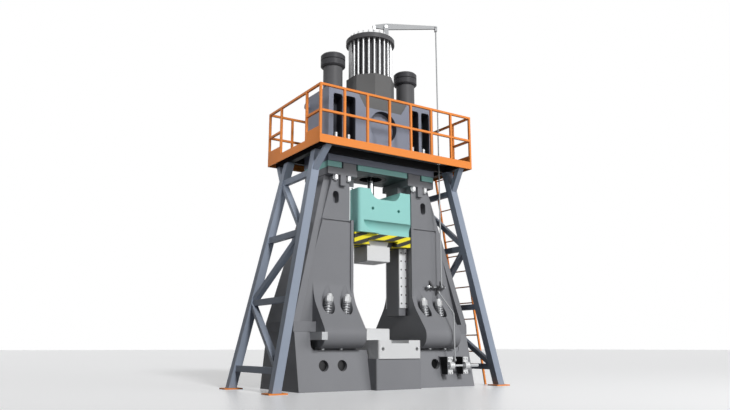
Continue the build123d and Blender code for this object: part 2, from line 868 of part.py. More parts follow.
def column_key_pair(front):
    """Two folding wedges between a column foot and the anvil cheek, on the right-hand side."""
    inner = column_foot_outer_x
    outer = channel_half_width
    mean = (inner + outer) / 2
    turn = key_taper_share * (front + key_rear_y) / 2
    driven = [(inner, -front), (mean + turn, -front), (mean - turn, key_rear_y), (inner, key_rear_y)]
    fixed = [(mean + turn, -front), (outer, -front), (outer, key_rear_y), (mean - turn, key_rear_y)]
    height = key_top_z - key_bottom_z
    pieces = []
    for outline in (driven, fixed):
        face = flat_face([(x, y, key_bottom_z) for x, y in outline])
        pieces.append(extrude(face, amount=height, dir=(0, 0, 1)))
    return pieces


def column_keys():
    left = [mirrored_x(piece) for piece in column_key_pair(left_key_front_y)]
    return group(left + column_key_pair(right_key_front_y))


def guide_plates():
    plate = block((guide_plate_inner_x, -guide_face_y, guide_plate_bottom_z),
                  (guide_plate_outer_x, -tongue_half_depth, guide_plate_top_z))
    return group(four_corners(plate))


# Tie bolts, springs and nuts
def tie_bolts():
    end = spring_height + bolt_nut_height
    return group([frame * upright(bolt_radius, -bolt_length_below(), end) for frame in bolt_frames()])


def coil_spring():
    """A square-wire coil as a ruled loft through sections along a helix."""
    steps = spring_turns * spring_steps_per_turn
    half = spring_wire / 2
    climb = spring_height - spring_wire
    sections = []
    for step in range(steps + 1):
        turn = 2 * pi * step / spring_steps_per_turn
        middle = half + climb * step / steps
        corners = [(-half, -half), (half, -half), (half, half), (-half, half)]
        points = [((spring_radius + dr) * cos(turn), (spring_radius + dr) * sin(turn), middle + dz)
                  for dr, dz in corners]
        sections.append(flat_face(points))
    return loft(sections, ruled=True)


def buffer_springs():
    coil = coil_spring()
    return group([frame * coil for frame in bolt_frames()])


def tie_bolt_nuts():
    """Domed cap nuts, screwed down on the springs."""
    bottom = spring_height
    top = bottom + bolt_nut_height
    hexed = hexagon(bolt_nut_radius, bottom, top)
    hexed -= upright(bolt_radius + seat_gap, bottom - overrun, top)
    root = bolt_nut_radius * cos(pi / 6)
    crown = bolt_radius
    dome = turned([(0, top), (root, top), (crown, top + bolt_nut_dome), (0, top + bolt_nut_dome)])
    caps = [frame * (hexed + dome) for frame in bolt_frames()]
    return group(caps + barrel_nuts())


def barrel_nuts():
    """Round cross nuts in the anvil that take the lower bolt ends."""
    nuts = []
    for x in (bolt_inner_x, bolt_outer_x):
        place = cross_hole_x(x)
        nut = rod((place, -bolt_y - barrel_nut_length / 2, cross_hole_z),
                  (place, barrel_nut_length / 2 - bolt_y, cross_hole_z), cross_hole_radius - seat_gap)
        nuts += four_corners(nut)
    bore = upright(bolt_radius + seat_gap, -bolt_length_below() - overrun, 0)
    bores = [frame * bore for frame in bolt_frames()]
    return [nut - bores for nut in nuts]


# Head
def buffer_plate():
    outline = [(-plate_half_depth + plate_chamfer, column_flange_top_z),
               (plate_half_depth - plate_chamfer, column_flange_top_z),
               (plate_half_depth, column_flange_top_z + plate_chamfer), (plate_half_depth, plate_top_z),
               (-plate_half_depth, plate_top_z), (-plate_half_depth, column_flange_top_z + plate_chamfer)]
    body = along_x(outline, -plate_half_width, plate_half_width)
    low = column_flange_top_z - overrun
    high = plate_top_z + overrun
    notch = block((tab_inner_x - tab_side_gap, -plate_half_depth - overrun, low),
                  (tab_outer_x + tab_side_gap, seat_gap - tab_root_y, high))
    body -= four_corners(notch)
    body -= upright(plate_hole_radius, low, high)
    return body - head_stud_holes(low, high)


def head_stud_holes(low, high):
    holes = []
    for x in (inner_slot_x, outer_slot_x):
        holes += four_corners(upright(stud_radius + stud_hole_play, low, high, x, -stud_y))
    return holes


def head_slot(x, width):
    height = slot_top_z - slot_bottom_z
    rounded = RectangleRounded(width, height, slot_corner_radius)
    outline = Plane.XZ * (Pos(x, slot_bottom_z + height / 2) * rounded)
    return Pos(0, slot_depth - head_half_depth, 0) * extrude(outline, amount=slot_depth + overrun)


def saddle_outline(gap, top):
    """Outline of the V-shaped saddle that holds the valve block."""
    slope = (saddle_top_half_width - saddle_bottom_half_width) / (head_top_z - saddle_bottom_z)
    low = saddle_bottom_half_width - gap
    high = saddle_bottom_half_width + slope * (top - saddle_bottom_z) - gap
    return [(-low, saddle_bottom_z), (low, saddle_bottom_z), (high, top), (-high, top)]


def head_body():
    body = block((-head_half_width, -head_half_depth, plate_top_z),
                 (head_half_width, head_half_depth, head_top_z))
    past_y = head_half_depth + overrun
    body -= along_y(saddle_outline(0, head_top_z + overrun), -past_y, past_y)
    for x, width in ((inner_slot_x, inner_slot_width), (outer_slot_x, outer_slot_width)):
        body -= four_corners(head_slot(x, width))
    recess = rod((0, -past_y, round_recess_z), (0, round_recess_depth - head_half_depth, round_recess_z),
                 round_recess_radius)
    body -= both_ends(recess)
    body -= upright(liner_radius + seat_gap, plate_top_z - overrun, head_top_z)
    body -= head_stud_holes(plate_top_z - overrun, slot_bottom_z + overrun)
    port = rod((-head_half_width - side_port_length, side_port_y, side_port_z),
               (-head_half_width, side_port_y, side_port_z), side_port_radius)
    return body + port + mirrored_x(port)


def head_studs():
    studs = []
    for x in (inner_slot_x, outer_slot_x):
        studs += four_corners(upright(stud_radius, stud_bottom_z, stud_top_z, x, -stud_y))
    return group(studs)


def head_stud_nuts():
    """Nuts under the column flanges and on the floors of the head slots."""
    nuts = []
    for bottom in (column_flange_bottom_z - stud_nut_height, slot_bottom_z):
        top = bottom + stud_nut_height
        for x in (inner_slot_x, outer_slot_x):
            nut = hexagon(stud_nut_radius, bottom, top, x, -stud_y)
            nut -= upright(stud_radius + seat_gap, bottom - overrun, top + overrun, x, -stud_y)
            nuts += four_corners(nut)
    return group(nuts)


def cylinder_liner():
    return ring(liner_radius, bore_radius, liner_bottom_z, liner_top_z)


def rod_gland():
    body = ring(liner_radius, rod_radius + running_gap, plate_top_z, liner_bottom_z)
    middle = (plate_top_z + liner_bottom_z) / 2
    return body - upright(rod_radius + seal_width, middle, middle + seal_height)


def rod_seal():
    middle = (plate_top_z + liner_bottom_z) / 2
    return ring(rod_radius + seal_width - seat_gap, rod_radius + running_gap,
                middle + seat_gap, middle + seal_height - seat_gap)


def gland_cover():
    return ring(gland_cover_radius, rod_radius + pin_play, plate_top_z - gland_cover_thickness, plate_top_z)


# Valve block and stack
def valve_block():
    outline = saddle_outline(seat_gap, head_top_z)
    body = along_y(outline, -valve_block_half_depth, valve_block_half_depth)
    prism = extrude(RegularPolygon(valve_block_radius, valve_block_sides, rotation=180 / valve_block_sides),
                    valve_block_top_z - head_top_z)
    body += Pos(0, 0, head_top_z) * prism
    return body - upright(liner_radius + seat_gap, saddle_bottom_z - overrun, liner_top_z)


def stack_barrel():
    return ring(barrel_radius, barrel_radius - barrel_wall, valve_block_top_z, stack_flange_bottom_z)


def spool_place():
    angle = radians(link_angle)
    return rocker_inner_reach * cos(angle), rocker_inner_reach * sin(angle)


def stack_flange():
    body = upright(stack_flange_radius, stack_flange_bottom_z, stack_flange_top_z)
    x, y = spool_place()
    return body - upright(spool_radius + running_gap, stack_flange_bottom_z - overrun,
                          stack_flange_top_z + overrun, x, y)


def around(radius, count):
    """Places spaced evenly on a circle."""
    for index in range(count):
        angle = 2 * pi * (index + 1 / 2) / count
        yield radius * cos(angle), radius * sin(angle)


def tie_rods():
    places = around(tie_rod_circle_radius, tie_rod_count)
    return group([upright(tie_rod_radius, valve_block_top_z, stack_flange_bottom_z, x, y) for x, y in places])


def tie_rod_nuts():
    nuts = []
    for x, y in around(tie_rod_circle_radius, tie_rod_count):
        top = stack_flange_top_z + tie_nut_height
        nut = hexagon(tie_nut_radius, stack_flange_top_z, top, x, y)
        nuts.append(nut + hexagon(tie_end_radius, top, top + tie_end_height, x, y))
    return group(nuts)


# Side accumulators
def accumulators():
    foot_top = head_top_z + accumulator_foot_height
    outline = [(0, head_top_z), (accumulator_foot_radius, head_top_z), (accumulator_foot_radius, foot_top),
               (accumulator_radius, foot_top), (accumulator_radius, accumulator_cap_bottom_z),
               (0, accumulator_cap_bottom_z)]
    return group(both_sides(turned(outline, accumulator_x)))


def accumulator_caps():
    groove = accumulator_cap_groove
    inner = accumulator_cap_radius - groove
    bevel = accumulator_cap_chamfer
    outline = [(0, accumulator_cap_bottom_z), (accumulator_cap_radius - bevel, accumulator_cap_bottom_z),
               (accumulator_cap_radius, accumulator_cap_bottom_z + bevel),
               (accumulator_cap_radius, accumulator_cap_groove_z), (inner, accumulator_cap_groove_z),
               (inner, accumulator_cap_groove_z + groove),
               (accumulator_cap_radius, accumulator_cap_groove_z + groove),
               (accumulator_cap_radius, accumulator_cap_top_z - bevel),
               (accumulator_cap_radius - bevel, accumulator_cap_top_z), (0, accumulator_cap_top_z)]
    return group(both_sides(turned(outline, accumulator_x)))


def accumulator_bolts():
    bottom = head_top_z + accumulator_foot_height
    bolts = []
    for x, y in around(accumulator_bolt_circle_radius, accumulator_bolt_count):
        top = bottom + accumulator_bolt_height
        bolt = hexagon(accumulator_bolt_radius, bottom, top, accumulator_x + x, y)
        bolts += both_sides(bolt)
    return group(bolts)


# Platform
def deck_opening():
    return head_half_width + deck_opening_gap, head_half_depth + deck_opening_gap


def deck_plate():
    bottom = deck_top_z - deck_thickness
    inset = fascia_thickness
    body = block((inset - platform_half_width, inset - platform_half_depth, bottom),
                 (platform_half_width - inset, platform_half_depth - inset, deck_top_z))
    x, y = deck_opening()
    body -= block((-x, -y, bottom - overrun), (x, y, deck_top_z + overrun))
    return body - upright(rod_hole_radius, bottom - overrun, deck_top_z + overrun, link_x, -link_y)


def deck_seal():
    """Rubber strip that closes the gap between the deck and the head."""
    bottom = deck_top_z - deck_thickness
    x, y = deck_opening()
    outer = block((-x, -y, bottom), (x, y, deck_top_z))
    return outer - block((-head_half_width, -head_half_depth, bottom - overrun),
                         (head_half_width, head_half_depth, deck_top_z + overrun))


def platform_fascia():
    inset = fascia_thickness
    front = block((-platform_half_width, -platform_half_depth, platform_bottom_z),
                  (platform_half_width, inset - platform_half_depth, deck_top_z))
    side = block((platform_half_width - inset, inset - platform_half_depth, platform_bottom_z),
                 (platform_half_width, platform_half_depth - inset, deck_top_z))
    return group(both_ends(front) + both_sides(side))


def platform_joists():
    """Carrier beams under the deck: two over the leg towers, two past the head."""
    top = deck_top_z - deck_thickness
    inset = platform_half_depth - fascia_thickness
    carrier = block((joist_x - joist_half_width, -inset, platform_bottom_z),
                    (joist_x + joist_half_width, inset, top))
    run = joist_x - joist_half_width
    cross = block((-run, -cross_joist_y - joist_half_width / 2, platform_bottom_z),
                  (run, joist_half_width / 2 - cross_joist_y, top))
    return group(both_sides(carrier) + both_ends(cross))


def long_railings():
    """Front and rear railings: posts, a top rail and mid-rail bars."""
    half = rail_size / 2
    y = -platform_half_depth + half
    reach = platform_half_width - half
    pitch = 2 * reach / (front_post_count - 1)
    pieces = [block((-platform_half_width, y - half, rail_top_z - rail_size),
                    (platform_half_width, y + half, rail_top_z))]
    for index in range(front_post_count):
        x = index * pitch - reach
        pieces.append(block((x - half, y - half, deck_top_z), (x + half, y + half, rail_top_z - rail_size)))
        if index:
            pieces.append(block((x - pitch + half, y - half, mid_rail_z - half),
                                (x - half, y + half, mid_rail_z + half)))
    return group([end for piece in pieces for end in both_ends(piece)])


def side_railings():
    """Right and left railings, with an open middle bay for the ladder."""
    half = rail_size / 2
    x = platform_half_width - half
    end = platform_half_depth - rail_size
    pieces = [block((x - half, -end, rail_top_z - rail_size), (x + half, end, rail_top_z))]
    for turn in (-1, 1):
        near = turn * (side_post_y + half)
        far = turn * end
        low_y, high_y = sorted((near, far))
        pieces.append(block((x - half, turn * side_post_y - half, deck_top_z),
                            (x + half, turn * side_post_y + half, rail_top_z - rail_size)))
        pieces.append(block((x - half, low_y, mid_rail_z - half), (x + half, high_y, mid_rail_z + half)))
    return group(on_both_sides(pieces))


def toe_boards():
    outer = platform_half_width
    low_y = side_post_y + rail_size / 2
    high_y = platform_half_depth - rail_size
    board = block((outer - toe_board_thickness, low_y, deck_top_z),
                  (outer, high_y, deck_top_z + toe_board_height))
    return group(four_corners(board))


# Leg towers, drawn for the right-hand side
def leg_x(share):
    return leg_foot_x + (leg_top_x - leg_foot_x) * share


def leg_y(share):
    return leg_foot_y + (leg_top_y - leg_foot_y) * share


def tower_leg(end):
    foot = (leg_foot_x, end * leg_foot_y, foot_plate_thickness)
    return leaning(foot, (leg_top_x, end * leg_top_y, leg_height), leg_size, leg_size)


def tower_legs():
    return [tower_leg(-1), tower_leg(1)]


def tower_braces():
    """Level bars and a zigzag of diagonals between the front and rear legs."""
    legs = tower_legs()
    half = brace_height / 2
    bars = []
    for share in brace_levels_shares:
        x = leg_x(share)
        z = leg_height * share
        bar = block((x - brace_width / 2, -leg_foot_y, z - half), (x + brace_width / 2, leg_foot_y, z + half))
        bars.append(largest(bar - legs))
    diagonals = []
    end = -1
    for low, high in zip(brace_levels_shares, brace_levels_shares[1:]):
        start = Vector(leg_x(low), end * leg_y(low), leg_height * low)
        finish = Vector(leg_x(high), -end * leg_y(high), leg_height * high)
        axis = finish - start
        plane = Plane(origin=start, x_dir=axis.cross(Vector(0, 0, 1)), z_dir=axis)
        bar = extrude(plane * Rectangle(brace_height, brace_width), amount=axis.length)
        diagonals.append(largest(bar - legs - bars))
        end = -end
    return bars + diagonals


def tower_struts():
    """Short struts from the leg heads out to the carrier beams."""
    legs = tower_legs()
    struts = []
    for end in (-1, 1):
        share = strut_foot_share
        foot = (leg_x(share), end * leg_y(share), leg_height * share)
        head = (leg_top_x, end * (leg_top_y + strut_reach), leg_height)
        struts.append(largest(leaning(foot, head, strut_size, strut_size) - legs))
    return struts


def foot_plate():
    half_x = foot_plate_length / 2
    half_y = foot_plate_width / 2
    plate = block((leg_foot_x - half_x, -leg_foot_y - half_y, 0),
                  (leg_foot_x + half_x, half_y - leg_foot_y, foot_plate_thickness))
    for x in (-anchor_spacing_x / 2, anchor_spacing_x / 2):
        for y in (-anchor_spacing_y / 2, anchor_spacing_y / 2):
            plate -= upright(anchor_hole_radius, -overrun, foot_plate_thickness + overrun,
                             leg_foot_x + x, y - leg_foot_y)
    return plate


# Ladder
def ladder_x(z):
    return ladder_foot_x + (ladder_top_x - ladder_foot_x) * z / deck_top_z


def ladder_stringers():
    sides = []
    for y in (ladder_front_y, ladder_rear_y):
        foot = (ladder_x(0), y, 0)
        sides.append(leaning(foot, (ladder_x(deck_top_z), y, deck_top_z), stringer_width, stringer_thickness))
    return sides


def ladder_rungs():
    half = stringer_thickness / 2
    count = int(deck_top_z / rung_pitch)
    rungs = []
    for index in range(1, count + 1):
        z = index * rung_pitch
        x = ladder_x(z)
        rungs.append(rod((x, ladder_front_y + half, z), (x, ladder_rear_y - half, z), rung_radius))
    return group(rungs)


def ladder_clips():
    """Blocks that hold the stringers to the platform fascia."""
    middle = (platform_bottom_z + deck_top_z) / 2
    low = middle - ladder_clip_height / 2
    high = middle + ladder_clip_height / 2
    half = stringer_thickness / 2
    clips = []
    for y in (ladder_front_y, ladder_rear_y):
        clip = block((platform_half_width, y - half, low), (ladder_x(middle), y + half, high))
        clips.append(clip - ladder_stringers())
    return [piece.solids().sort_by(Axis.X)[0] for piece in clips]


# Control linkage. The rocker is drawn along X, then swung to its own bearing
def swung(shape):
    return Rot(0, 0, link_angle) * shape


def rocker_arm():
    inner = rocker_inner_reach
    pivot = rocker_pivot_reach
    outline = [(inner, rocker_z - rocker_end_radius), (pivot, rocker_z - rocker_belly),
               (link_reach, rocker_tip_z - rocker_end_radius), (link_reach, rocker_tip_z + rocker_end_radius),
               (pivot, rocker_z + rocker_apex), (inner, rocker_z + rocker_end_radius)]
    half = rocker_thickness / 2
    body = along_y(outline, -half, half)
    for x, z in ((inner, rocker_z), (link_reach, rocker_tip_z)):
        body += rod((x, -half, z), (x, half, z), rocker_end_radius)
        body -= rod((x, -half - overrun, z), (x, half + overrun, z), link_pin_radius + pin_play)
    hole = rocker_pin_radius + running_gap
    body -= rod((pivot, -half - overrun, rocker_z), (pivot, half + overrun, rocker_z), hole)
    return swung(body)


def rocker_stand_faces():
    near = rocker_thickness / 2 + link_side_gap
    return near, near + rocker_stand_plate


def rocker_stand():
    """Two cheeks on a base that carry the rocker's pivot."""
    near, far = rocker_stand_faces()
    base_top = stack_flange_top_z + rocker_stand_base_height
    left = rocker_pivot_reach - rocker_stand_half_length
    right = rocker_pivot_reach + rocker_stand_half_length
    body = block((left, -far, stack_flange_top_z), (right, far, base_top))
    cheek = along_y([(left, base_top), (right, base_top), (rocker_pivot_reach + rocker_stand_eye, rocker_z),
                     (rocker_pivot_reach - rocker_stand_eye, rocker_z)], near, far)
    cheek += rod((rocker_pivot_reach, near, rocker_z), (rocker_pivot_reach, far, rocker_z), rocker_stand_eye)
    body += both_ends(cheek)
    hole = rod((rocker_pivot_reach, -far - overrun, rocker_z), (rocker_pivot_reach, far + overrun, rocker_z),
               rocker_pin_radius + running_gap)
    return swung(body - hole)


def rocker_pin():
    near, far = rocker_stand_faces()
    end = far + link_pin_head
    body = rod((rocker_pivot_reach, -far, rocker_z), (rocker_pivot_reach, far, rocker_z), rocker_pin_radius)
    for low, high in ((-end, -far), (far, end)):
        body += rod((rocker_pivot_reach, low, rocker_z), (rocker_pivot_reach, high, rocker_z),
                    rocker_pin_radius + link_pin_head)
    return swung(body)


def fork(reach, pin_z):
    """A fork round the end of the rocker, with its pin, on top of a rod."""
    near = rocker_thickness / 2 + link_side_gap
    far = near + clevis_ear
    bottom = pin_z - clevis_drop
    half = link_eye_radius - link_side_gap
    body = block((reach - half, -far, bottom - clevis_foot), (reach + half, far, bottom))
    ear = block((reach - half, near, bottom), (reach + half, far, pin_z))
    ear += rod((reach, near, pin_z), (reach, far, pin_z), half)
    body += both_ends(ear)
    end = far + link_pin_head
    return swung(body + rod((reach, -end, pin_z), (reach, end, pin_z), link_pin_radius))


def valve_spool():
    x, y = spool_place()
    stem = upright(spool_radius, spool_bottom_z, rocker_z - clevis_drop - clevis_foot, x, y)
    return stem + fork(rocker_inner_reach, rocker_z)


def rod_eye(y, z):
    half = link_plate / 2
    eye = rod((link_x - half, y, z), (link_x + half, y, z), link_eye_radius)
    return eye - rod((link_x - overrun, y, z), (link_x + overrun, y, z), link_pin_radius + pin_play)


def pull_rod():
    bottom = crank_shaft_z + link_eye_radius - link_side_gap
    top = rocker_tip_z - clevis_drop - clevis_foot
    bar = upright(link_rod_radius, bottom, top, link_x, -link_y)
    return bar + rod_eye(-link_y, crank_shaft_z) + fork(link_reach, rocker_tip_z)


def lower_rod():
    """A dog-leg rod that steps forward past the column's half-round toe."""
    upper_y = -crank_shaft_y
    upper_z = crank_shaft_z - crank_down_arm
    lower_z = base_shaft_z + crank_down_arm
    slant = Vector(0, -elbow_y - upper_y, elbow_z - upper_z)
    start = Vector(link_x, upper_y, upper_z) + slant.normalized() * (link_eye_radius - link_side_gap)
    finish = Vector(link_x, -elbow_y, lower_z + link_eye_radius - link_side_gap)
    path = FilletPolyline(start, (link_x, -elbow_y, elbow_z), finish, radius=elbow_radius)
    bar = sweep(Plane(origin=start, z_dir=slant) * Circle(link_rod_radius), path=path)
    return bar + rod_eye(upper_y, upper_z) + rod_eye(-elbow_y, lower_z)


def arm_plate(start_y, start_z, end_y, end_z):
    """A crank arm beside the rods, with the pin at its end."""
    far = crank_face_x
    near = far - link_plate
    along = Vector(0, end_y - start_y, end_z - start_z).normalized() * crank_arm_half_width
    across = Vector(1, 0, 0).cross(along)
    corners = [(start_y + across.Y, start_z + across.Z), (end_y + across.Y, end_z + across.Z),
               (end_y - across.Y, end_z - across.Z), (start_y - across.Y, start_z - across.Z)]
    body = along_x(corners, near, far)
    body += rod((near, end_y, end_z), (far, end_y, end_z), crank_arm_half_width)
    tip = link_x + link_plate / 2 + link_side_gap
    body += rod((near, end_y, end_z), (tip, end_y, end_z), link_pin_radius)
    return body + rod((tip, end_y, end_z), (tip + link_pin_head, end_y, end_z), link_pin_radius + pin_play)


def crank_hub(y, z):
    return rod((crank_face_x - link_plate, y, z), (crank_face_x, y, z), crank_hub_radius)


def crank_bore(y, z, shaft_radius):
    """The keyed bore of a crank hub."""
    low = crank_face_x - link_plate - overrun
    return rod((low, y, z), (crank_face_x + overrun, y, z), shaft_radius + running_gap)


def bell_crank():
    y = -crank_shaft_y
    z = crank_shaft_z
    body = crank_hub(y, z) + arm_plate(y, z, y - crank_forward_arm, z)
    body += arm_plate(y, z, y, z - crank_down_arm)
    return body - crank_bore(y, z, crank_shaft_radius)


def crank_shaft():
    """The crank shaft with the ball on its left end, turned from one profile."""
    length = crank_shaft_right_x - crank_shaft_left_x
    bar = Rectangle(length, 2 * crank_shaft_radius, align=(Align.MIN, Align.CENTER))
    upper = Rectangle(2 * (length + crank_knob_radius), crank_knob_radius, align=(Align.CENTER, Align.MIN))
    profile = (Circle(crank_knob_radius) + bar) & upper
    return Pos(crank_shaft_left_x, -crank_shaft_y, crank_shaft_z) * revolve(profile, Axis.X)


def crank_brackets():
    """Two lugs on the column panel with bearing eyes for the crank shaft."""
    face = -column_panel_half_depth
    y = -crank_shaft_y
    z = crank_shaft_z
    root = z + crank_hub_radius
    outline = [(face, root), (face, root + crank_bracket_rise), (y - crank_hub_radius, z),
               (y, z - crank_hub_radius)]
    pieces = []
    for x in (crank_bracket_left_x, crank_bracket_right_x):
        low = x - crank_bracket_half_width
        high = x + crank_bracket_half_width
        lug = along_x(outline, low, high) + rod((low, y, z), (high, y, z), crank_hub_radius)
        bore = rod((low - overrun, y, z), (high + overrun, y, z), crank_shaft_radius + running_gap)
        pieces.append(lug - bore)
    return group(pieces)


def bearing_spans():
    """Left and right faces of the two hand-shaft bearings."""
    half = base_bearing_half_width
    return [(x - half, x + half) for x in (base_bearing_left_x, base_bearing_right_x)]


def bearing_pads():
    """Pads on the anvil's sloping face, one behind each bearing."""
    reach = base_bearing_half_height + bearing_pad_margin
    levels = (base_shaft_z - reach, base_shaft_z + reach)
    back = [(-anvil_face_y(z), z) for z in levels]
    front = [(y - bearing_pad_thickness, z) for y, z in reversed(back)]
    return group([along_x(back + front, left, right) for left, right in bearing_spans()])


def bearing_face_y():
    """Front face of the bearing blocks, just behind the hand shaft."""
    return base_bearing_setback - elbow_y


def base_bearings():
    """Tall blocks that carry the hand shaft in front of the anvil."""
    levels = (base_shaft_z - base_bearing_half_height, base_shaft_z + base_bearing_half_height)
    back = [(-anvil_face_y(z) - bearing_pad_thickness, z) for z in levels]
    front = [(bearing_face_y(), z) for z in reversed(levels)]
    return group([along_x(back + front, left, right) for left, right in bearing_spans()])


def bearing_caps():
    """Caps on the bearing blocks, each with a round eye and four bolt heads."""
    back = bearing_face_y()
    front = back - bearing_cap_thickness
    low = base_shaft_z - base_bearing_half_height
    high = base_shaft_z + base_bearing_half_height
    caps = []
    for left, right in bearing_spans():
        cap = block((left, front, low), (right, back, high))
        cap += rod((left, -elbow_y, base_shaft_z), (right, -elbow_y, base_shaft_z), base_bearing_eye)
        cap -= block((left - overrun, back, low - overrun), (right + overrun, 0, high + overrun))
        for x in (left + bearing_bolt_inset, right - bearing_bolt_inset):
            for z in (low + bearing_bolt_inset, high - bearing_bolt_inset):
                cap += rod((x, front, z), (x, front - bearing_bolt_height, z), bearing_bolt_radius)
        bore = rod((left - overrun, -elbow_y, base_shaft_z), (right + overrun, -elbow_y, base_shaft_z),
                   base_shaft_radius + running_gap)
        caps.append(cap - bore)
    return group(caps)


def base_shaft():
    return rod((base_shaft_left_x, -elbow_y, base_shaft_z), (base_shaft_right_x, -elbow_y, base_shaft_z),
               base_shaft_radius)


def base_crank():
    y = -elbow_y
    body = crank_hub(y, base_shaft_z) + arm_plate(y, base_shaft_z, y, base_shaft_z + crank_down_arm)
    return body - crank_bore(y, base_shaft_z, base_shaft_radius)


def base_handle():
    sleeve = rod((base_handle_start_x, -elbow_y, base_shaft_z),
                 (base_shaft_right_x + base_handle_radius, -elbow_y, base_shaft_z), base_handle_radius)
    return sleeve - base_shaft()


nodes = {
    "anvil_block": anvil_block(),
    "sow_block": sow_block(),
    "lower_die": lower_die(),
    "lower_die_key": lower_die_key(),
    "left_column": mirrored_x(right_column()),
    "right_column": right_column(),
    "column_keys": column_keys(),
    "tie_bolts": tie_bolts(),
    "tie_bolt_nuts": tie_bolt_nuts(),
    "buffer_springs": buffer_springs(),
    "guide_plates": guide_plates(),
    "buffer_plate": buffer_plate(),
    "head_body": head_body(),
    "head_studs": head_studs(),
    "head_stud_nuts": head_stud_nuts(),
    "cylinder_liner": cylinder_liner(),
    "rod_gland": rod_gland(),
    "rod_seal": rod_seal(),
    "gland_cover": gland_cover(),
    "valve_block": valve_block(),
    "stack_barrel": stack_barrel(),
    "stack_flange": stack_flange(),
    "tie_rods": tie_rods(),
    "tie_rod_nuts": tie_rod_nuts(),
    "accumulators": accumulators(),
    "accumulator_caps": accumulator_caps(),
    "accumulator_bolts": accumulator_bolts(),
    "deck_plate": deck_plate(),
    "deck_seal": deck_seal(),
    "platform_fascia": platform_fascia(),
    "platform_joists": platform_joists(),
    "long_railings": long_railings(),
    "side_railings": side_railings(),
    "toe_boards": toe_boards(),
    "tower_legs": group(on_both_sides(tower_legs())),
    "tower_braces": group(on_both_sides(tower_braces())),
    "tower_struts": group(on_both_sides(tower_struts())),
    "tower_foot_plates": group(four_corners(foot_plate())),
    "ladder_stringers": group(ladder_stringers() + ladder_clips()),
    "ladder_rungs": ladder_rungs(),
    "rocker_stand": rocker_stand(),
    "rocker_pin": rocker_pin(),
    "rocker_arm": rocker_arm(),
    "valve_spool": valve_spool(),
    "pull_rod": pull_rod(),
    "crank_brackets": crank_brackets(),
    "crank_shaft": crank_shaft(),
    "bell_crank": bell_crank(),
    "lower_rod": lower_rod(),
    "bearing_pads": bearing_pads(),
    "base_bearings": base_bearings(),
    "bearing_caps": bearing_caps(),
    "base_shaft": base_shaft() + base_handle(),
    "base_crank": base_crank(),
    "ram": ram(),
    "upper_die": upper_die(),
    "upper_die_keys": upper_die_keys(),
    "piston_rod": piston_rod(),
    "piston": piston(),
    "piston_rings": piston_rings(),
}

for name, shape in nodes.items():
    export_step(shape, os.path.join("parts", name + ".step"))
print(len(nodes), "sub-parts written")
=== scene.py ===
# %% [markdown]
# # A hydraulic forging hammer: finishes, small pieces, light and camera
#
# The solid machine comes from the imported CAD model, in metres: X runs to the right along the
# front, Y into the depth and Z up, with the origin on the floor under the anvil. A scene like
# this could be modelled again in Blender, but then it would drift from the CAD sizes. So the CAD
# parts stay as they are, and this lesson gives them finishes, adds what is too fine for CAD, and
# sets the light and the camera.

# %% Load the machine
import math

import bpy
import numpy as np
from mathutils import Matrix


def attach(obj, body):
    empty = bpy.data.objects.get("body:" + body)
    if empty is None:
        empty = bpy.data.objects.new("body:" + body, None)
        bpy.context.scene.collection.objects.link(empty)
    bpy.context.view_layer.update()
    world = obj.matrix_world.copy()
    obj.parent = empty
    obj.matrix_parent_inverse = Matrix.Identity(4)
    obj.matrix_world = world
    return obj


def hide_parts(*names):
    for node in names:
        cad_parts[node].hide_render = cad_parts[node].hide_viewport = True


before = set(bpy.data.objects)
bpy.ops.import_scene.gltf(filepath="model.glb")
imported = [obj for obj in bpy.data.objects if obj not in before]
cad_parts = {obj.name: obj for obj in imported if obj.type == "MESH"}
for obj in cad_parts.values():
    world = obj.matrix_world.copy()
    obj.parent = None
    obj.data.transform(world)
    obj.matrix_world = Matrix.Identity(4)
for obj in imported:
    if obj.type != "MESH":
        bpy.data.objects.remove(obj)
scene = bpy.context.scene
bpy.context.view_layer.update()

# %% [markdown]
# ## A small language for shader nodes
#
# Every finish here is a tree of nodes: noise, sums, limits and colour mixes. Such a tree can be
# drawn by hand in the shader editor, but a machine with over twenty finishes repeats the same few
# nodes many times. Short helpers therefore stand for the nodes that repeat. A number given to one
# of them is written on the socket, and a socket given to it is linked.

# %% Node helpers


def feed(tree, value, socket):
    """Links a socket into another, or writes a plain value on it."""
    if isinstance(value, bpy.types.NodeSocket):
        tree.links.new(value, socket)
    else:
        socket.default_value = value


def maths(tree, operation, a, b=0.0):
    """One sum of two values, such as ADD or MULTIPLY."""
    node = tree.nodes.new("ShaderNodeMath")
    node.operation = operation
    feed(tree, a, node.inputs[0])
    feed(tree, b, node.inputs[1])
    return node.outputs[0]


def mixed(tree, share, a, b):
    """The colour a, turning into b as the share goes from 0 to 1."""
    node = tree.nodes.new("ShaderNodeMix")
    node.data_type = "RGBA"
    feed(tree, share, node.inputs[0])
    feed(tree, a, node.inputs[6])
    feed(tree, b, node.inputs[7])
    return node.outputs[2]


def ramp(tree, value, low, high):
    """A smooth step: 0 below the low limit, 1 above the high one, an S-curve between."""
    node = tree.nodes.new("ShaderNodeMapRange")
    node.interpolation_type = "SMOOTHSTEP"
    node.inputs["From Min"].default_value = low
    node.inputs["From Max"].default_value = high
    feed(tree, value, node.inputs["Value"])
    return node.outputs["Result"]


def object_place(tree):
    """The place on the part, in metres, which moves with the part."""
    return tree.nodes.new("ShaderNodeTexCoord").outputs["Object"]


def object_axes(tree):
    """X, Y and Z of the place on the part."""
    axes = tree.nodes.new("ShaderNodeSeparateXYZ")
    feed(tree, object_place(tree), axes.inputs[0])
    return axes.outputs


def normal_axes(tree):
    """X, Y and Z of the direction in which the face looks."""
    axes = tree.nodes.new("ShaderNodeSeparateXYZ")
    feed(tree, tree.nodes.new("ShaderNodeNewGeometry").outputs["Normal"], axes.inputs[0])
    return axes.outputs


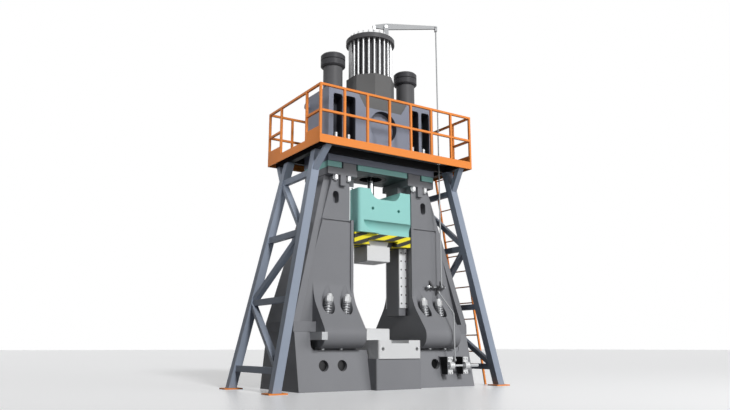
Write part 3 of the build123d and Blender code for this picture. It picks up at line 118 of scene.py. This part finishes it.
def noise(tree, scale, detail):
    """Cloudy noise on the object's own coordinates."""
    node = tree.nodes.new("ShaderNodeTexNoise")
    node.inputs["Scale"].default_value = scale
    node.inputs["Detail"].default_value = detail
    feed(tree, object_place(tree), node.inputs["Vector"])
    return node.outputs["Fac"]


def new_group(name, inputs, outputs):
    """An empty node group with its sockets named."""
    tree = bpy.data.node_groups.new(name, "ShaderNodeTree")
    for label, kind, value in inputs:
        tree.interface.new_socket(label, in_out="INPUT", socket_type=kind).default_value = value
    for label, kind in outputs:
        tree.interface.new_socket(label, in_out="OUTPUT", socket_type=kind)
    return tree, tree.nodes.new("NodeGroupInput").outputs, tree.nodes.new("NodeGroupOutput").inputs


mid_grey = (0.5, 0.5, 0.5, 1)
groups = {}
print("node helpers ready")

# %% [markdown]
# ## Soft edges
#
# No edge of a casting or a machined block is a perfect corner: it is broken by a file or rounded
# by the mould, and it catches a thin line of light. A bevel modifier could cut that rounding into
# each mesh, at the price of many faces and of odd corners on CAD triangles. The Bevel node only
# turns the shading normal near an edge, so the solids keep their size, and how far it turns also
# tells where the edges are, which the paint uses later for wear.

# %% Soft edges group


def soft_edges_group():
    """Mask = smooth step of 1 - (rounded normal . true normal), so it is 0 on flat faces."""
    tree, given, made = new_group("soft edges", [("Radius", "NodeSocketFloat", 0.006)],
                                  [("Normal", "NodeSocketVector"), ("Mask", "NodeSocketFloat")])
    bevel = tree.nodes.new("ShaderNodeBevel")
    bevel.samples = 4
    feed(tree, given["Radius"], bevel.inputs["Radius"])
    dot = tree.nodes.new("ShaderNodeVectorMath")
    dot.operation = "DOT_PRODUCT"
    feed(tree, bevel.outputs[0], dot.inputs[0])
    feed(tree, tree.nodes.new("ShaderNodeNewGeometry").outputs["Normal"], dot.inputs[1])
    feed(tree, bevel.outputs[0], made["Normal"])
    turned = maths(tree, "SUBTRACT", 1.0, dot.outputs["Value"])
    feed(tree, ramp(tree, turned, low=0.02, high=0.25), made["Mask"])
    return tree


groups["edges"] = soft_edges_group()
print("group:", groups["edges"].name)

# %% [markdown]
# ## Grain
#
# Paint on cast iron is never one flat colour: it is thicker here and thinner there over a metre,
# and rough over a few millimetres. A photograph of paint could be wrapped on, but it would need
# unwrapped meshes and would repeat. Two noises, one broad and one fine, change the brightness by
# a few hundredths instead, and the fine one is also handed out as a height for the bump.

# %% Grain group


def grain_group():
    """Brightness = 1 + strength (0.75 broad noise + 0.25 fine noise - 0.5)."""
    tree, given, made = new_group("grain", [("Color", "NodeSocketColor", mid_grey),
                                            ("Strength", "NodeSocketFloat", 0.1)],
                                  [("Color", "NodeSocketColor"), ("Height", "NodeSocketFloat")])
    fine = noise(tree, scale=45.0, detail=5.0)
    broad = noise(tree, scale=1.3, detail=3.0)
    broad_share = maths(tree, "MULTIPLY", broad, 0.75)
    both = maths(tree, "ADD", broad_share, maths(tree, "MULTIPLY", fine, 0.25))
    swing = maths(tree, "MULTIPLY", maths(tree, "SUBTRACT", both, 0.5), given["Strength"])
    shade = tree.nodes.new("ShaderNodeHueSaturation")
    feed(tree, maths(tree, "ADD", swing, 1.0), shade.inputs["Value"])
    feed(tree, given["Color"], shade.inputs["Color"])
    feed(tree, shade.outputs[0], made["Color"])
    feed(tree, fine, made["Height"])
    return tree


groups["grain"] = grain_group()
print("group:", groups["grain"].name)

# %% [markdown]
# ## Settled dust
#
# A forge is a dusty place, and scale settles on whatever looks up: the toes of the columns, the
# deck and the shoulders of the anvil. It could be painted by hand, face by face. Here the upward
# share of the normal does it, broken into patches by noise, so each new part is dusted by itself.

# %% Dust group


def dust_group():
    """Share = amount x smooth step of the normal's Z x patches of noise."""
    tree, given, made = new_group("settled dust", [("Color", "NodeSocketColor", mid_grey),
                                                   ("Amount", "NodeSocketFloat", 0.2)],
                                  [("Color", "NodeSocketColor"), ("Share", "NodeSocketFloat")])
    dust_color = (0.36, 0.34, 0.31, 1)
    facing = ramp(tree, normal_axes(tree)["Z"], low=0.45, high=0.95)
    patch = ramp(tree, noise(tree, scale=3.1, detail=6.0), low=0.35, high=0.7)
    share = maths(tree, "MULTIPLY", maths(tree, "MULTIPLY", facing, patch), given["Amount"])
    feed(tree, mixed(tree, share, given["Color"], dust_color), made["Color"])
    feed(tree, share, made["Share"])
    return tree


groups["dust"] = dust_group()
print("group:", groups["dust"].name)

# %% [markdown]
# ## One builder for paint and for metal
#
# A painted casting, a ground die and a chromed rod differ in colour, gloss and metal, but the
# order of their layers is the same: base colour, grain, a printed pattern if there is one, wear
# at the edges, dust on top. Each finish could have a tree of its own. One function with these as
# arguments keeps them alike, and the Principled shader stays in the material itself so that
# other programs can read it.

# %% Material builder


def linear(r, g, b):
    """A screen colour of 0 to 255 as linear light: a power of 2.4, straight near black."""
    screen = np.array([r, g, b]) / 255
    light = np.where(screen <= 0.04045, screen / 12.92, ((screen + 0.055) / 1.055) ** 2.4)
    return (*light.tolist(), 1.0)


def use_group(tree, name, **values):
    """A copy of a shared group, with its inputs set."""
    node = tree.nodes.new("ShaderNodeGroup")
    node.node_tree = groups[name]
    for key, value in values.items():
        feed(tree, value, node.inputs[key])
    return node.outputs


def finish(name, color, rough, metal=0.0, gloss=0.12, grain=0.2, wear=0.35, dust=0.15,
           edge=0.006, pattern=None):
    """One material: grain, pattern, worn edges and dust over a colour, then relief."""
    material = bpy.data.materials.new(name)
    material.use_nodes = True
    tree = material.node_tree
    shader = tree.nodes["Principled BSDF"].inputs
    shader["Metallic"].default_value = metal
    shader["Specular IOR Level"].default_value = gloss
    base = use_group(tree, "grain", Color=color, Strength=grain)
    tone = pattern(tree, base["Color"]) if pattern else base["Color"]
    edges = use_group(tree, "edges", Radius=edge)
    chips = ramp(tree, noise(tree, scale=9.0, detail=6.0), low=0.45, high=0.62)
    worn = maths(tree, "MULTIPLY", maths(tree, "MULTIPLY", edges["Mask"], chips), wear)
    bare = (*(0.6 * channel + 0.22 for channel in color[:3]), 1.0)
    dusty = use_group(tree, "dust", Color=mixed(tree, worn, tone, bare), Amount=dust)
    feed(tree, dusty["Color"], shader["Base Color"])
    cloud = noise(tree, scale=5.0, detail=3.0)
    swing = maths(tree, "MULTIPLY", maths(tree, "SUBTRACT", cloud, 0.5), 0.18)
    dull = maths(tree, "ADD", maths(tree, "MULTIPLY", dusty["Share"], 0.3), rough)
    feed(tree, maths(tree, "ADD", swing, dull), shader["Roughness"])
    relief = tree.nodes.new("ShaderNodeBump")
    relief.inputs["Strength"].default_value = 0.15
    relief.inputs["Distance"].default_value = 0.002
    feed(tree, base["Height"], relief.inputs["Height"])
    feed(tree, edges["Normal"], relief.inputs["Normal"])
    feed(tree, relief.outputs[0], shader["Normal"])
    return material


materials = {}
print("material builder ready")

# %% [markdown]
# ## Paint of the castings
#
# The columns and the anvil are sprayed in a plain machine grey, the head in a colder grey, and
# the valve gear in darker ones. One grey for all would be simpler, but the real greys differ by
# a shade, and that is what parts the pieces where they meet. Each colour is written as the
# screen shows it in even light, because the lamps below are set to that level. The slots of the
# head and the walls of its round recesses get a darker grey as painted shade. Their inside could
# be cut off as separate faces with a second colour, but a rule on the place and the normal finds
# them without touching the mesh.

# %% Casting paints
head_half_width = 1.375
head_half_depth = 0.515
head_top = 6.165
recess_floor = 0.365
skin = 0.012


def painted_pocket_shade(tree, tone):
    """Painted shade behind a skin inside the head's faces: on walls, and on floors deeper than the
    round recesses.
    """
    place = object_axes(tree)
    from_middle = maths(tree, "ABSOLUTE", place["Y"])
    sideways = maths(tree, "ABSOLUTE", place["X"])
    within_ends = maths(tree, "LESS_THAN", sideways, head_half_width - skin)
    within_front = maths(tree, "LESS_THAN", from_middle, head_half_depth - skin)
    within_top = maths(tree, "LESS_THAN", place["Z"], head_top - skin)
    within = maths(tree, "MULTIPLY", maths(tree, "MULTIPLY", within_ends, within_front), within_top)
    wall = maths(tree, "LESS_THAN", maths(tree, "ABSOLUTE", normal_axes(tree)["Y"]), 0.5)
    deep = maths(tree, "LESS_THAN", from_middle, recess_floor - skin)
    shade_share = maths(tree, "MULTIPLY", within, maths(tree, "MAXIMUM", wall, deep))
    # The dark grey is painted shade in the slots and on the walls of the round recesses.
    return mixed(tree, shade_share, tone, linear(66, 68, 75))


materials["cast"] = finish("cast grey paint", linear(132, 133, 137), rough=0.42, dust=0.2,
                           edge=0.010)
materials["anvil"] = finish("anvil grey paint", linear(136, 137, 141), rough=0.45, dust=0.25,
                            edge=0.012)
materials["head"] = finish("head blue-grey paint", linear(142, 147, 162), rough=0.4, edge=0.010,
                           pattern=painted_pocket_shade)
materials["valve"] = finish("valve block grey", linear(110, 110, 110), rough=0.42, edge=0.008)
materials["dark"] = finish("dark grey paint", linear(98, 98, 100), rough=0.42)
materials["cap"] = finish("cap grey paint", linear(76, 76, 79), rough=0.4, wear=0.5, edge=0.005)
materials["black"] = finish("black paint", linear(40, 40, 42), rough=0.4, wear=0.5, edge=0.005)
print("casting paints:", len(materials))

# %% [markdown]
# ## The ram, with its warning stripes
#
# The ram is the piece that strikes, so it is painted pale teal, and its lowest band carries
# slanting yellow and dark stripes as a warning. The stripes could be an image on unwrapped faces.
# A saw-tooth of the place on the ram gives crisp edges at any distance and runs round the corner
# without a seam. The plate under the head has the same teal on its edges; its faces that look down
# get a darker grey as painted shade, and the recess round the rod a near-black as painted shade.

# %% Stripes and teal paints
stripes_per_metre = 2.07
stripe_lean = 2.9
band_top = 3.131
rod_recess_radius = 0.355


def hazard_band(tree, tone):
    """Yellow where the fraction of stripes per metre x (x + y - lean z) is over a half.

    This holds below the top of the band. Above it the ram keeps its own colour.
    """
    place = object_axes(tree)
    flat = maths(tree, "ADD", place["X"], place["Y"])
    along = maths(tree, "ADD", flat, maths(tree, "MULTIPLY", place["Z"], -stripe_lean))
    saw = maths(tree, "FRACT", maths(tree, "MULTIPLY", along, stripes_per_metre))
    upper_half = maths(tree, "GREATER_THAN", saw, 0.5)
    paint = mixed(tree, upper_half, linear(60, 60, 54), linear(244, 228, 52))
    return mixed(tree, maths(tree, "LESS_THAN", place["Z"], band_top), tone, paint)


def distance(tree, a, b):
    """The square root of a squared plus b squared."""
    square = maths(tree, "ADD", maths(tree, "POWER", a, 2.0), maths(tree, "POWER", b, 2.0))
    return maths(tree, "SQRT", square)


def painted_underside_shade(tree, tone):
    """Painted shade: a darker grey where the normal's Z is below -0.5, near-black near the rod's
    axis.
    """
    below = maths(tree, "LESS_THAN", normal_axes(tree)["Z"], -0.5)
    place = object_axes(tree)
    from_axis = distance(tree, place["X"], place["Y"])
    recess = maths(tree, "LESS_THAN", from_axis, rod_recess_radius)
    # Both the grey below and the near-black round the rod are painted shade.
    return mixed(tree, recess, mixed(tree, below, tone, linear(92, 94, 96)), linear(26, 26, 28))


materials["ram"] = finish("ram paint", linear(154, 214, 208), rough=0.4, grain=0.12, edge=0.010,
                          pattern=hazard_band)
materials["teal"] = finish("teal edge paint", linear(150, 204, 198), rough=0.4, grain=0.12,
                           edge=0.008,
                           pattern=painted_underside_shade)
print("teal paints:", materials["ram"].name, "and", materials["teal"].name)

# %% [markdown]
# ## Ground and machined steel
#
# The dies and guide plates are ground bright, the rods are turned or chromed, and the fasteners
# are plated. Full metal would mirror the studio and turn black where nothing bright stands, so
# only the chrome is pure metal here, and the ground faces keep a large matt share, as fine
# grinding marks scatter the light. The screws of the guide plates sit flush, so they are drawn as
# rings of colour rather than modelled, with a near-black dot in the middle as painted shade in
# the socket.

# %% Steel finishes
guide_middle = 0.6875
screw_row = 0.058
screws_per_metre = 5.5
screw_radius = 0.019
socket_radius = 0.009
cap_nut_level = 0.7


def screw_rows(tree, tone):
    """Two rows of screws: rings by the distance to the nearest point of a lattice in x and z."""
    place = object_axes(tree)
    out = maths(tree, "SUBTRACT", maths(tree, "ABSOLUTE", place["X"]), guide_middle)
    across = maths(tree, "SUBTRACT", maths(tree, "ABSOLUTE", out), screw_row)
    step = maths(tree, "FRACT", maths(tree, "MULTIPLY", place["Z"], screws_per_metre))
    rise = maths(tree, "MULTIPLY", maths(tree, "SUBTRACT", step, 0.5), 1 / screws_per_metre)
    reach = distance(tree, across, rise)
    head = maths(tree, "LESS_THAN", reach, screw_radius)
    socket = maths(tree, "LESS_THAN", reach, socket_radius)
    # The near-black socket is painted shade in the hex hole of each screw.
    return mixed(tree, socket, mixed(tree, head, tone, linear(120, 122, 124)), linear(30, 30, 32))


def painted_socket_shade(tree, tone):
    """Painted shade on the cross nuts below a level, deep in their holes; the cap nuts above it stay
    bright.
    """
    low = maths(tree, "LESS_THAN", object_axes(tree)["Z"], cap_nut_level)
    # The near-black below the level is painted shade in the cross holes of the anvil.
    return mixed(tree, low, tone, linear(26, 26, 28))


def right_keys_black(tree, tone):
    """Of the column keys, those on the right are drawn near-black."""
    right = maths(tree, "GREATER_THAN", object_axes(tree)["X"], 0.0)
    return mixed(tree, right, tone, linear(40, 41, 43))


bright = linear(218, 219, 220)
materials["die"] = finish("ground die steel", bright, rough=0.45, metal=0.05, gloss=0.2,
                          grain=0.1, edge=0.005)
materials["guide"] = finish("guide plate steel", linear(244, 245, 246), rough=0.38, metal=0.1,
                            gloss=0.5, grain=0.1, edge=0.004, pattern=screw_rows)
materials["steel"] = finish("machined steel", linear(196, 198, 200), rough=0.34, metal=0.65,
                            gloss=0.5, edge=0.003)
materials["keys"] = finish("key steel", linear(178, 180, 182), rough=0.36, metal=0.3, gloss=0.5,
                           edge=0.003, pattern=right_keys_black)
materials["white"] = finish("bright fasteners", bright, rough=0.35, metal=0.35, gloss=0.5,
                            grain=0.12, edge=0.003)
materials["nuts"] = finish("bolt nut steel", bright, rough=0.35, metal=0.35, gloss=0.5,
                           grain=0.12, edge=0.003, pattern=painted_socket_shade)
materials["chrome"] = finish("hard chrome", linear(212, 214, 216), rough=0.14, metal=1.0,
                             gloss=0.5, grain=0.06, wear=0.1, edge=0.003)
materials["link"] = finish("grey rod steel", linear(186, 188, 190), rough=0.42, gloss=0.2,
                           grain=0.12, edge=0.003)
materials["spring"] = finish("spring steel", linear(176, 177, 180), rough=0.35, metal=0.5,
                             gloss=0.5, edge=0.002)
print("finishes so far:", len(materials))

# %% [markdown]
# ## Platform finishes
#
# People climb to the head, so the platform is orange, stands on blue-grey towers and has a
# chequered deck that grips. The lozenges of the deck could be real bumps, thousands of them, and
# yet they are a few pixels wide. The product of two crossed waves draws them in the colour.

# %% Platform paints
tread_rate = 75.0


def tread(tree, tone):
    """Lozenges where sin rate (x + y) times sin rate (x - y) is over about a half."""
    place = object_axes(tree)
    rising = maths(tree, "MULTIPLY", maths(tree, "ADD", place["X"], place["Y"]), tread_rate)
    falling = maths(tree, "MULTIPLY", maths(tree, "SUBTRACT", place["X"], place["Y"]), tread_rate)
    product = maths(tree, "MULTIPLY", maths(tree, "SINE", rising), maths(tree, "SINE", falling))
    lozenge = maths(tree, "MULTIPLY", ramp(tree, product, low=0.35, high=0.6), 0.5)
    return mixed(tree, lozenge, tone, linear(170, 172, 175))


materials["orange"] = finish("orange paint", linear(246, 148, 72), rough=0.4, grain=0.12,
                             edge=0.004)
materials["legs"] = finish("tower blue-grey paint", linear(152, 162, 178), rough=0.42)
materials["joist"] = finish("joist black paint", linear(40, 40, 42), rough=0.5, wear=0.2,
                            edge=0.005)
materials["deck"] = finish("chequered deck", linear(120, 122, 126), rough=0.5, dust=0.3,
                           edge=0.003, pattern=tread)
materials["rubber"] = finish("black rubber", linear(24, 24, 25), rough=0.75, wear=0.05, edge=0.002)
print("finishes:", len(materials))

# %% [markdown]
# ## Which part has which finish
#
# On the machine a whole casting gets one coat before it is put together, so each CAD part has
# one finish. The list could name a finish for each part; turned round, with the parts under each
# finish, it reads like the painter's order, and a part that is left out stops the script.

# %% Dress the CAD parts
finishes = {
    "cast": ["left_column", "right_column"],
    "anvil": ["anvil_block", "bearing_pads"],
    "head": ["head_body"],
    "valve": ["valve_block"],
    "dark": ["stack_barrel", "stack_flange", "accumulators", "gland_cover", "piston_rings",
             "bell_crank", "base_crank", "crank_brackets", "upper_die_keys"],
    "cap": ["accumulator_caps"],
    "black": ["base_bearings"],
    "joist": ["platform_joists"],
    "teal": ["buffer_plate"],
    "ram": ["ram"],
    "die": ["sow_block", "lower_die", "upper_die"],
    "guide": ["guide_plates"],
    "steel": ["lower_die_key", "tie_bolts", "cylinder_liner", "rod_gland", "piston",
              "rocker_pin"],
    "link": ["rocker_stand", "rocker_arm", "pull_rod", "lower_rod"],
    "keys": ["column_keys"],
    "white": ["tie_rods", "tie_rod_nuts", "head_studs", "head_stud_nuts", "accumulator_bolts",
              "bearing_caps"],
    "nuts": ["tie_bolt_nuts"],
    "chrome": ["valve_spool", "crank_shaft", "base_shaft", "piston_rod"],
    "spring": ["buffer_springs"],
    "orange": ["platform_fascia", "long_railings", "side_railings", "toe_boards", "tower_foot_plates",
               "ladder_stringers", "ladder_rungs"],
    "legs": ["tower_legs", "tower_braces", "tower_struts"],
    "deck": ["deck_plate"],
    "rubber": ["deck_seal", "rod_seal"],
}
look_of = {node: look for look, nodes in finishes.items() for node in nodes}
for node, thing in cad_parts.items():
    thing.data.materials.clear()
    thing.data.materials.append(materials[look_of[node]])
print("dressed:", len(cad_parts))

# %% [markdown]
# ## Tubes from arrays
#
# Spring wire and weld beads are both a round section carried along a path. A curve object with a
# bevel could make them, one object for each, and would need converting to a mesh. Here all the
# paths of one piece are a single numpy array, so twenty beads cost one line and one mesh. The
# mesh stays at the origin, with its place in its points.

# %% Tube helpers
aside = (0.13, 0.21, 0.97)


def combinations(*values):
    """Every combination of the values, as one flat array for each list."""
    return [grid.ravel() for grid in np.meshgrid(*values, indexing="ij")]


def unit(vectors):
    """Vectors divided by their own lengths."""
    return vectors / np.linalg.norm(vectors, axis=-1, keepdims=True)


def tubes(paths, radius, sides, closed):
    """Round tubes along many paths, an array of (tubes, steps, 3).

    The point at step u and angle v is path(u) + radius(u) (cos v side + sin v up), with side and
    up square to the path. Side is found from a direction, aside, that no path follows. A closed
    path runs back into its start.
    """
    count, steps = paths.shape[:2]
    if closed:
        ahead = np.roll(paths, -1, 1) - np.roll(paths, 1, 1)
        step, turn = np.meshgrid(np.arange(steps), np.arange(sides), indexing="ij")
    else:
        ahead = np.gradient(paths, axis=1)
        step, turn = np.meshgrid(np.arange(steps - 1), np.arange(sides), indexing="ij")
    side = unit(np.cross(ahead, aside))
    up = unit(np.cross(side, ahead))
    angle = 2 * np.pi * np.arange(sides) / sides
    ring = side[:, :, None] * np.cos(angle)[:, None] + up[:, :, None] * np.sin(angle)[:, None]
    points = paths[:, :, None] + np.reshape(radius, (1, -1, 1, 1)) * ring
    row = step * sides
    next_row = (step + 1) % steps * sides
    next_turn = (turn + 1) % sides
    quads = np.stack([row + turn, next_row + turn, next_row + next_turn, row + next_turn], -1)
    starts = np.arange(count) * steps * sides
    return points.reshape(-1, 3), (starts[:, None, None] + quads.reshape(-1, 4)).reshape(-1, 4)


def add_piece(name, points, quads, look, slot):
    """A mesh from arrays, with its finish, riding on the machine's frame."""
    mesh = bpy.data.meshes.new(name)
    mesh.from_pydata(points.tolist(), [], quads.tolist())
    mesh.polygons.foreach_set("use_smooth", np.ones(len(quads), bool))
    mesh.materials.append(materials[look])
    mesh.update()
    thing = bpy.data.objects.new(name, mesh)
    scene.collection.objects.link(thing)
    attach(thing, "frame")
    print(name, "points:", len(points), "faces:", len(quads))
    return thing


print("tube helpers ready")

# %% [markdown]
# ## Springs under the tie-bolt nuts
#
# Eight stiff coil springs sit in the pockets of the column feet, on bolts that lean inwards, and
# keep the columns tight while the anvil recoils. The CAD model has them as square-section coils,
# which is enough for weight and contact. Round wire shows here: a helix whose turns lie closer at
# both ends, as a wound spring's do, with the wire drawn to a point at the tips so that it closes.

# %% Round-wire springs
turns = 5
steps_per_turn = 28
spring_height = 0.245
coil_radius = 0.066
wire = 0.013
crowding = 0.045
tip_taper = 120
seat_x = (1.000, 1.410)
seat_y = 0.595
seat_z = 1.440
lean = math.radians(8)

share = np.linspace(0, 1, turns * steps_per_turn)
climb = wire + (share - crowding * np.sin(2 * np.pi * share)) * (spring_height - 2 * wire)
angle = 2 * np.pi * turns * share
helix = np.stack([coil_radius * np.cos(angle), coil_radius * np.sin(angle), climb], -1)
wire_radius = wire * np.sqrt(np.clip(np.minimum(share, 1 - share) * tip_taper, 0.01, 1))

hand, end, x = combinations([-1, 1], [-1, 1], seat_x)
zero = np.zeros(len(x))
seats = np.stack([hand * x, end * seat_y, zero + seat_z], -1)
axis = np.stack([-hand * math.sin(lean), zero, zero + math.cos(lean)], -1)
across = np.stack([zero + math.cos(lean), zero, hand * math.sin(lean)], -1)
frames = np.stack([across, np.cross(axis, across), axis], 1)
coils = seats[:, None] + np.einsum("nj,kji->kni", helix, frames)
spring_mesh = tubes(coils, wire_radius, sides=10, closed=False)
round_springs = add_piece("round_springs", *spring_mesh, "spring", "dark_steel")
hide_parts("buffer_springs")

# %% [markdown]
# ## Weld beads
#
# The towers are welded from bars: a bead runs round each foot where it meets its plate, and round
# the end of each brace. The railing posts are welded to the deck edge in the same way. A bead
# could be a bump in the paint, but a bump has no outline. A thin tube along a rectangle with its
# corners cut has one, and all the rectangles of one kind go into one array.

# %% Beads on the towers and posts
along_x = (1, 0, 0)
along_y = (0, 1, 0)
along_z = (0, 0, 1)
leg_foot_x = 2.671
leg_foot_y = 0.982
leg_top_x = 1.690
leg_top_y = 0.600
leg_half_width = 0.087
tower_height = 4.681
foot_plate_top = 0.029
brace_levels = (0.085, 0.36, 0.635, 0.90)
brace_inset = 0.088
brace_half_width = 0.050
brace_half_height = 0.062
tower_bead = 0.0085
post_reach = 1.917
post_y = 1.128
post_foot_z = 4.847
post_half_width = 0.0225
post_bead = 0.004


def rectangles(centres, half_a, half_b, a, b, steps=6, corner_cut=0.02):
    """Closed loops round rectangles: corners joined by even steps that stop short of them."""
    corner = np.array([(-1, -1), (1, -1), (1, 1), (-1, 1)], float)
    share = np.linspace(corner_cut, 1 - corner_cut, steps)[None, :, None]
    flat = corner[:, None] * (1 - share) + np.roll(corner, -1, 0)[:, None] * share
    flat = flat.reshape(-1, 2) * [half_a, half_b]
    return centres[:, None] + flat[:, :1] * np.array(a) + flat[:, 1:] * np.array(b)


hand, end, level = combinations([-1, 1], [-1, 1], brace_levels)
brace_x = leg_foot_x + (leg_top_x - leg_foot_x) * level
brace_y = leg_foot_y - brace_inset + (leg_top_y - leg_foot_y) * level
braces = np.stack([hand * brace_x, end * brace_y, tower_height * level], -1)
brace_loops = rectangles(braces, brace_half_width, brace_half_height, along_x, along_z)

hand, end = combinations([-1, 1], [-1, 1])
feet = np.stack([hand * leg_foot_x, end * leg_foot_y, np.full(len(hand), foot_plate_top)], -1)
foot_loops = rectangles(feet, leg_half_width, leg_half_width, along_x, along_y)
tower_loops = np.concatenate([brace_loops, foot_loops])
tower_mesh = tubes(tower_loops, tower_bead, sides=8, closed=True)
add_piece("tower_welds", *tower_mesh, "legs", "leg_blue")

x, end = combinations(np.linspace(-post_reach, post_reach, 8), [-1, 1])
posts = np.stack([x, end * post_y, np.full(len(x), post_foot_z)], -1)
post_loops = rectangles(posts, post_half_width, post_half_width, along_x, along_y)
post_mesh = tubes(post_loops, post_bead, sides=6, closed=True)
add_piece("post_welds", *post_mesh, "orange", "orange")

# %% [markdown]
# ## Floor and surround
#
# The machine stands on a pale floor in front of white, with a soft shadow and a faint mirror
# image at its foot. Enough lamps could burn any backdrop white, but then the bright steel would
# clip as well. So the floor and the world look at the kind of ray: seen by the camera or in a
# mirror they are pale, and as a source of light they are dim, which leaves the shading alone.

# %% Floor and world


def seen_directly(tree):
    """1 for rays from the camera, in mirrors or through glass, and 0 for diffuse light."""
    path = tree.nodes.new("ShaderNodeLightPath").outputs
    shiny = maths(tree, "MAXIMUM", path["Is Glossy Ray"], path["Is Transmission Ray"])
    return maths(tree, "MAXIMUM", path["Is Camera Ray"], shiny)


floor_reach = 200.0
floor_glow = 0.20
ambient = 0.05

corners = floor_reach * np.array([(-1, -1, 0), (1, -1, 0), (1, 1, 0), (-1, 1, 0)])
mesh = bpy.data.meshes.new("floor")
mesh.from_pydata(corners.tolist(), [], [(0, 1, 2, 3)])
material = bpy.data.materials.new("floor")
material.use_nodes = True
tree = material.node_tree
shader = tree.nodes["Principled BSDF"].inputs
seen = seen_directly(tree)
feed(tree, mixed(tree, seen, linear(80, 80, 82), linear(226, 227, 229)), shader["Base Color"])
shader["Roughness"].default_value = 0.35
shader["Emission Color"].default_value = (1.0, 1.0, 1.0, 1.0)
feed(tree, maths(tree, "MULTIPLY", seen, floor_glow), shader["Emission Strength"])
mesh.materials.append(material)
floor = bpy.data.objects.new("floor", mesh)
scene.collection.objects.link(floor)

world = bpy.data.worlds.new("studio")
world.use_nodes = True
sky = world.node_tree
backdrop = sky.nodes["Background"].inputs
backdrop["Color"].default_value = (1.0, 1.0, 1.0, 1.0)
backdrop_share = maths(sky, "MULTIPLY", seen_directly(sky), 1.0 - ambient)
feed(sky, maths(sky, "ADD", backdrop_share, ambient), backdrop["Strength"])
scene.world = world
print("surround:", ambient, "as light, 1.0 as backdrop")

# %% [markdown]
# ## Lamps
#
# The light falls from the front and from above, so the fronts are pale, the left sides dark, and
# the undersides darker still. One sun alone would do for the fronts. A broad softbox to the right
# of it softens the shadows in the pockets, and a small lamp far up on the left keeps the
# platform's end from going black. Their strengths are set so that a grey written as 128 comes out
# near 128 on a face that looks at the light.

# %% Three lamps


def lamp(name, kind, energy, place, target, size, spread=180):
    """A lamp at a place, turned to a target: tilt from straight down, then a turn about Z.

    Size is the width in metres of an area lamp, and the angle in degrees that a sun fills.
    """
    data = bpy.data.lights.new(name, kind)
    data.energy = energy
    if kind == "AREA":
        data.size = size
        data.spread = math.radians(spread)
    else:
        data.angle = math.radians(size)
    thing = bpy.data.objects.new(name, data)
    thing.location = place
    back = np.array(place, float) - np.array(target, float)
    tilt = math.atan2(math.hypot(back[0], back[1]), back[2])
    thing.rotation_euler = (tilt, 0, math.atan2(back[0], -back[1]))
    scene.collection.objects.link(thing)


lamp("key", "SUN", energy=1.9, place=(-0.9, -14, 8.0), target=(0, 0, 0), size=10)
lamp("softbox", "AREA", energy=800, place=(6.0, -14, 6.5), target=(0, 0, 4), size=9)
lamp("fill", "AREA", energy=14, place=(-9.0, -2.5, 6.0), target=(-2, 0, 5.2), size=2, spread=40)

# %% [markdown]
# ## Camera
#
# The photograph was taken low, from the front left, with the machine's edges leaning together
# above. Its angle could be found by trial. It was solved instead from edges whose place on the
# machine is known, which gives the place, the two angles and the lens below.

# %% Camera at the photograph's angle
yaw = math.radians(33.25)
pitch = math.radians(11.77)
sensor_width = 36.0
photo_width = 730
focal_pixels = 682.4

camera = bpy.data.cameras.new("camera")
camera.sensor_width = sensor_width
camera.lens = sensor_width * focal_pixels / photo_width
camera.clip_end = 300.0
viewer = bpy.data.objects.new("camera", camera)
viewer.location = (-8.104, -12.142, 0.811)
viewer.rotation_euler = (math.pi / 2 + pitch, 0, -yaw)
scene.collection.objects.link(viewer)
scene.camera = viewer
scene.view_settings.view_transform = "Standard"
print("camera:", tuple(viewer.location), "lens:", round(camera.lens, 2))
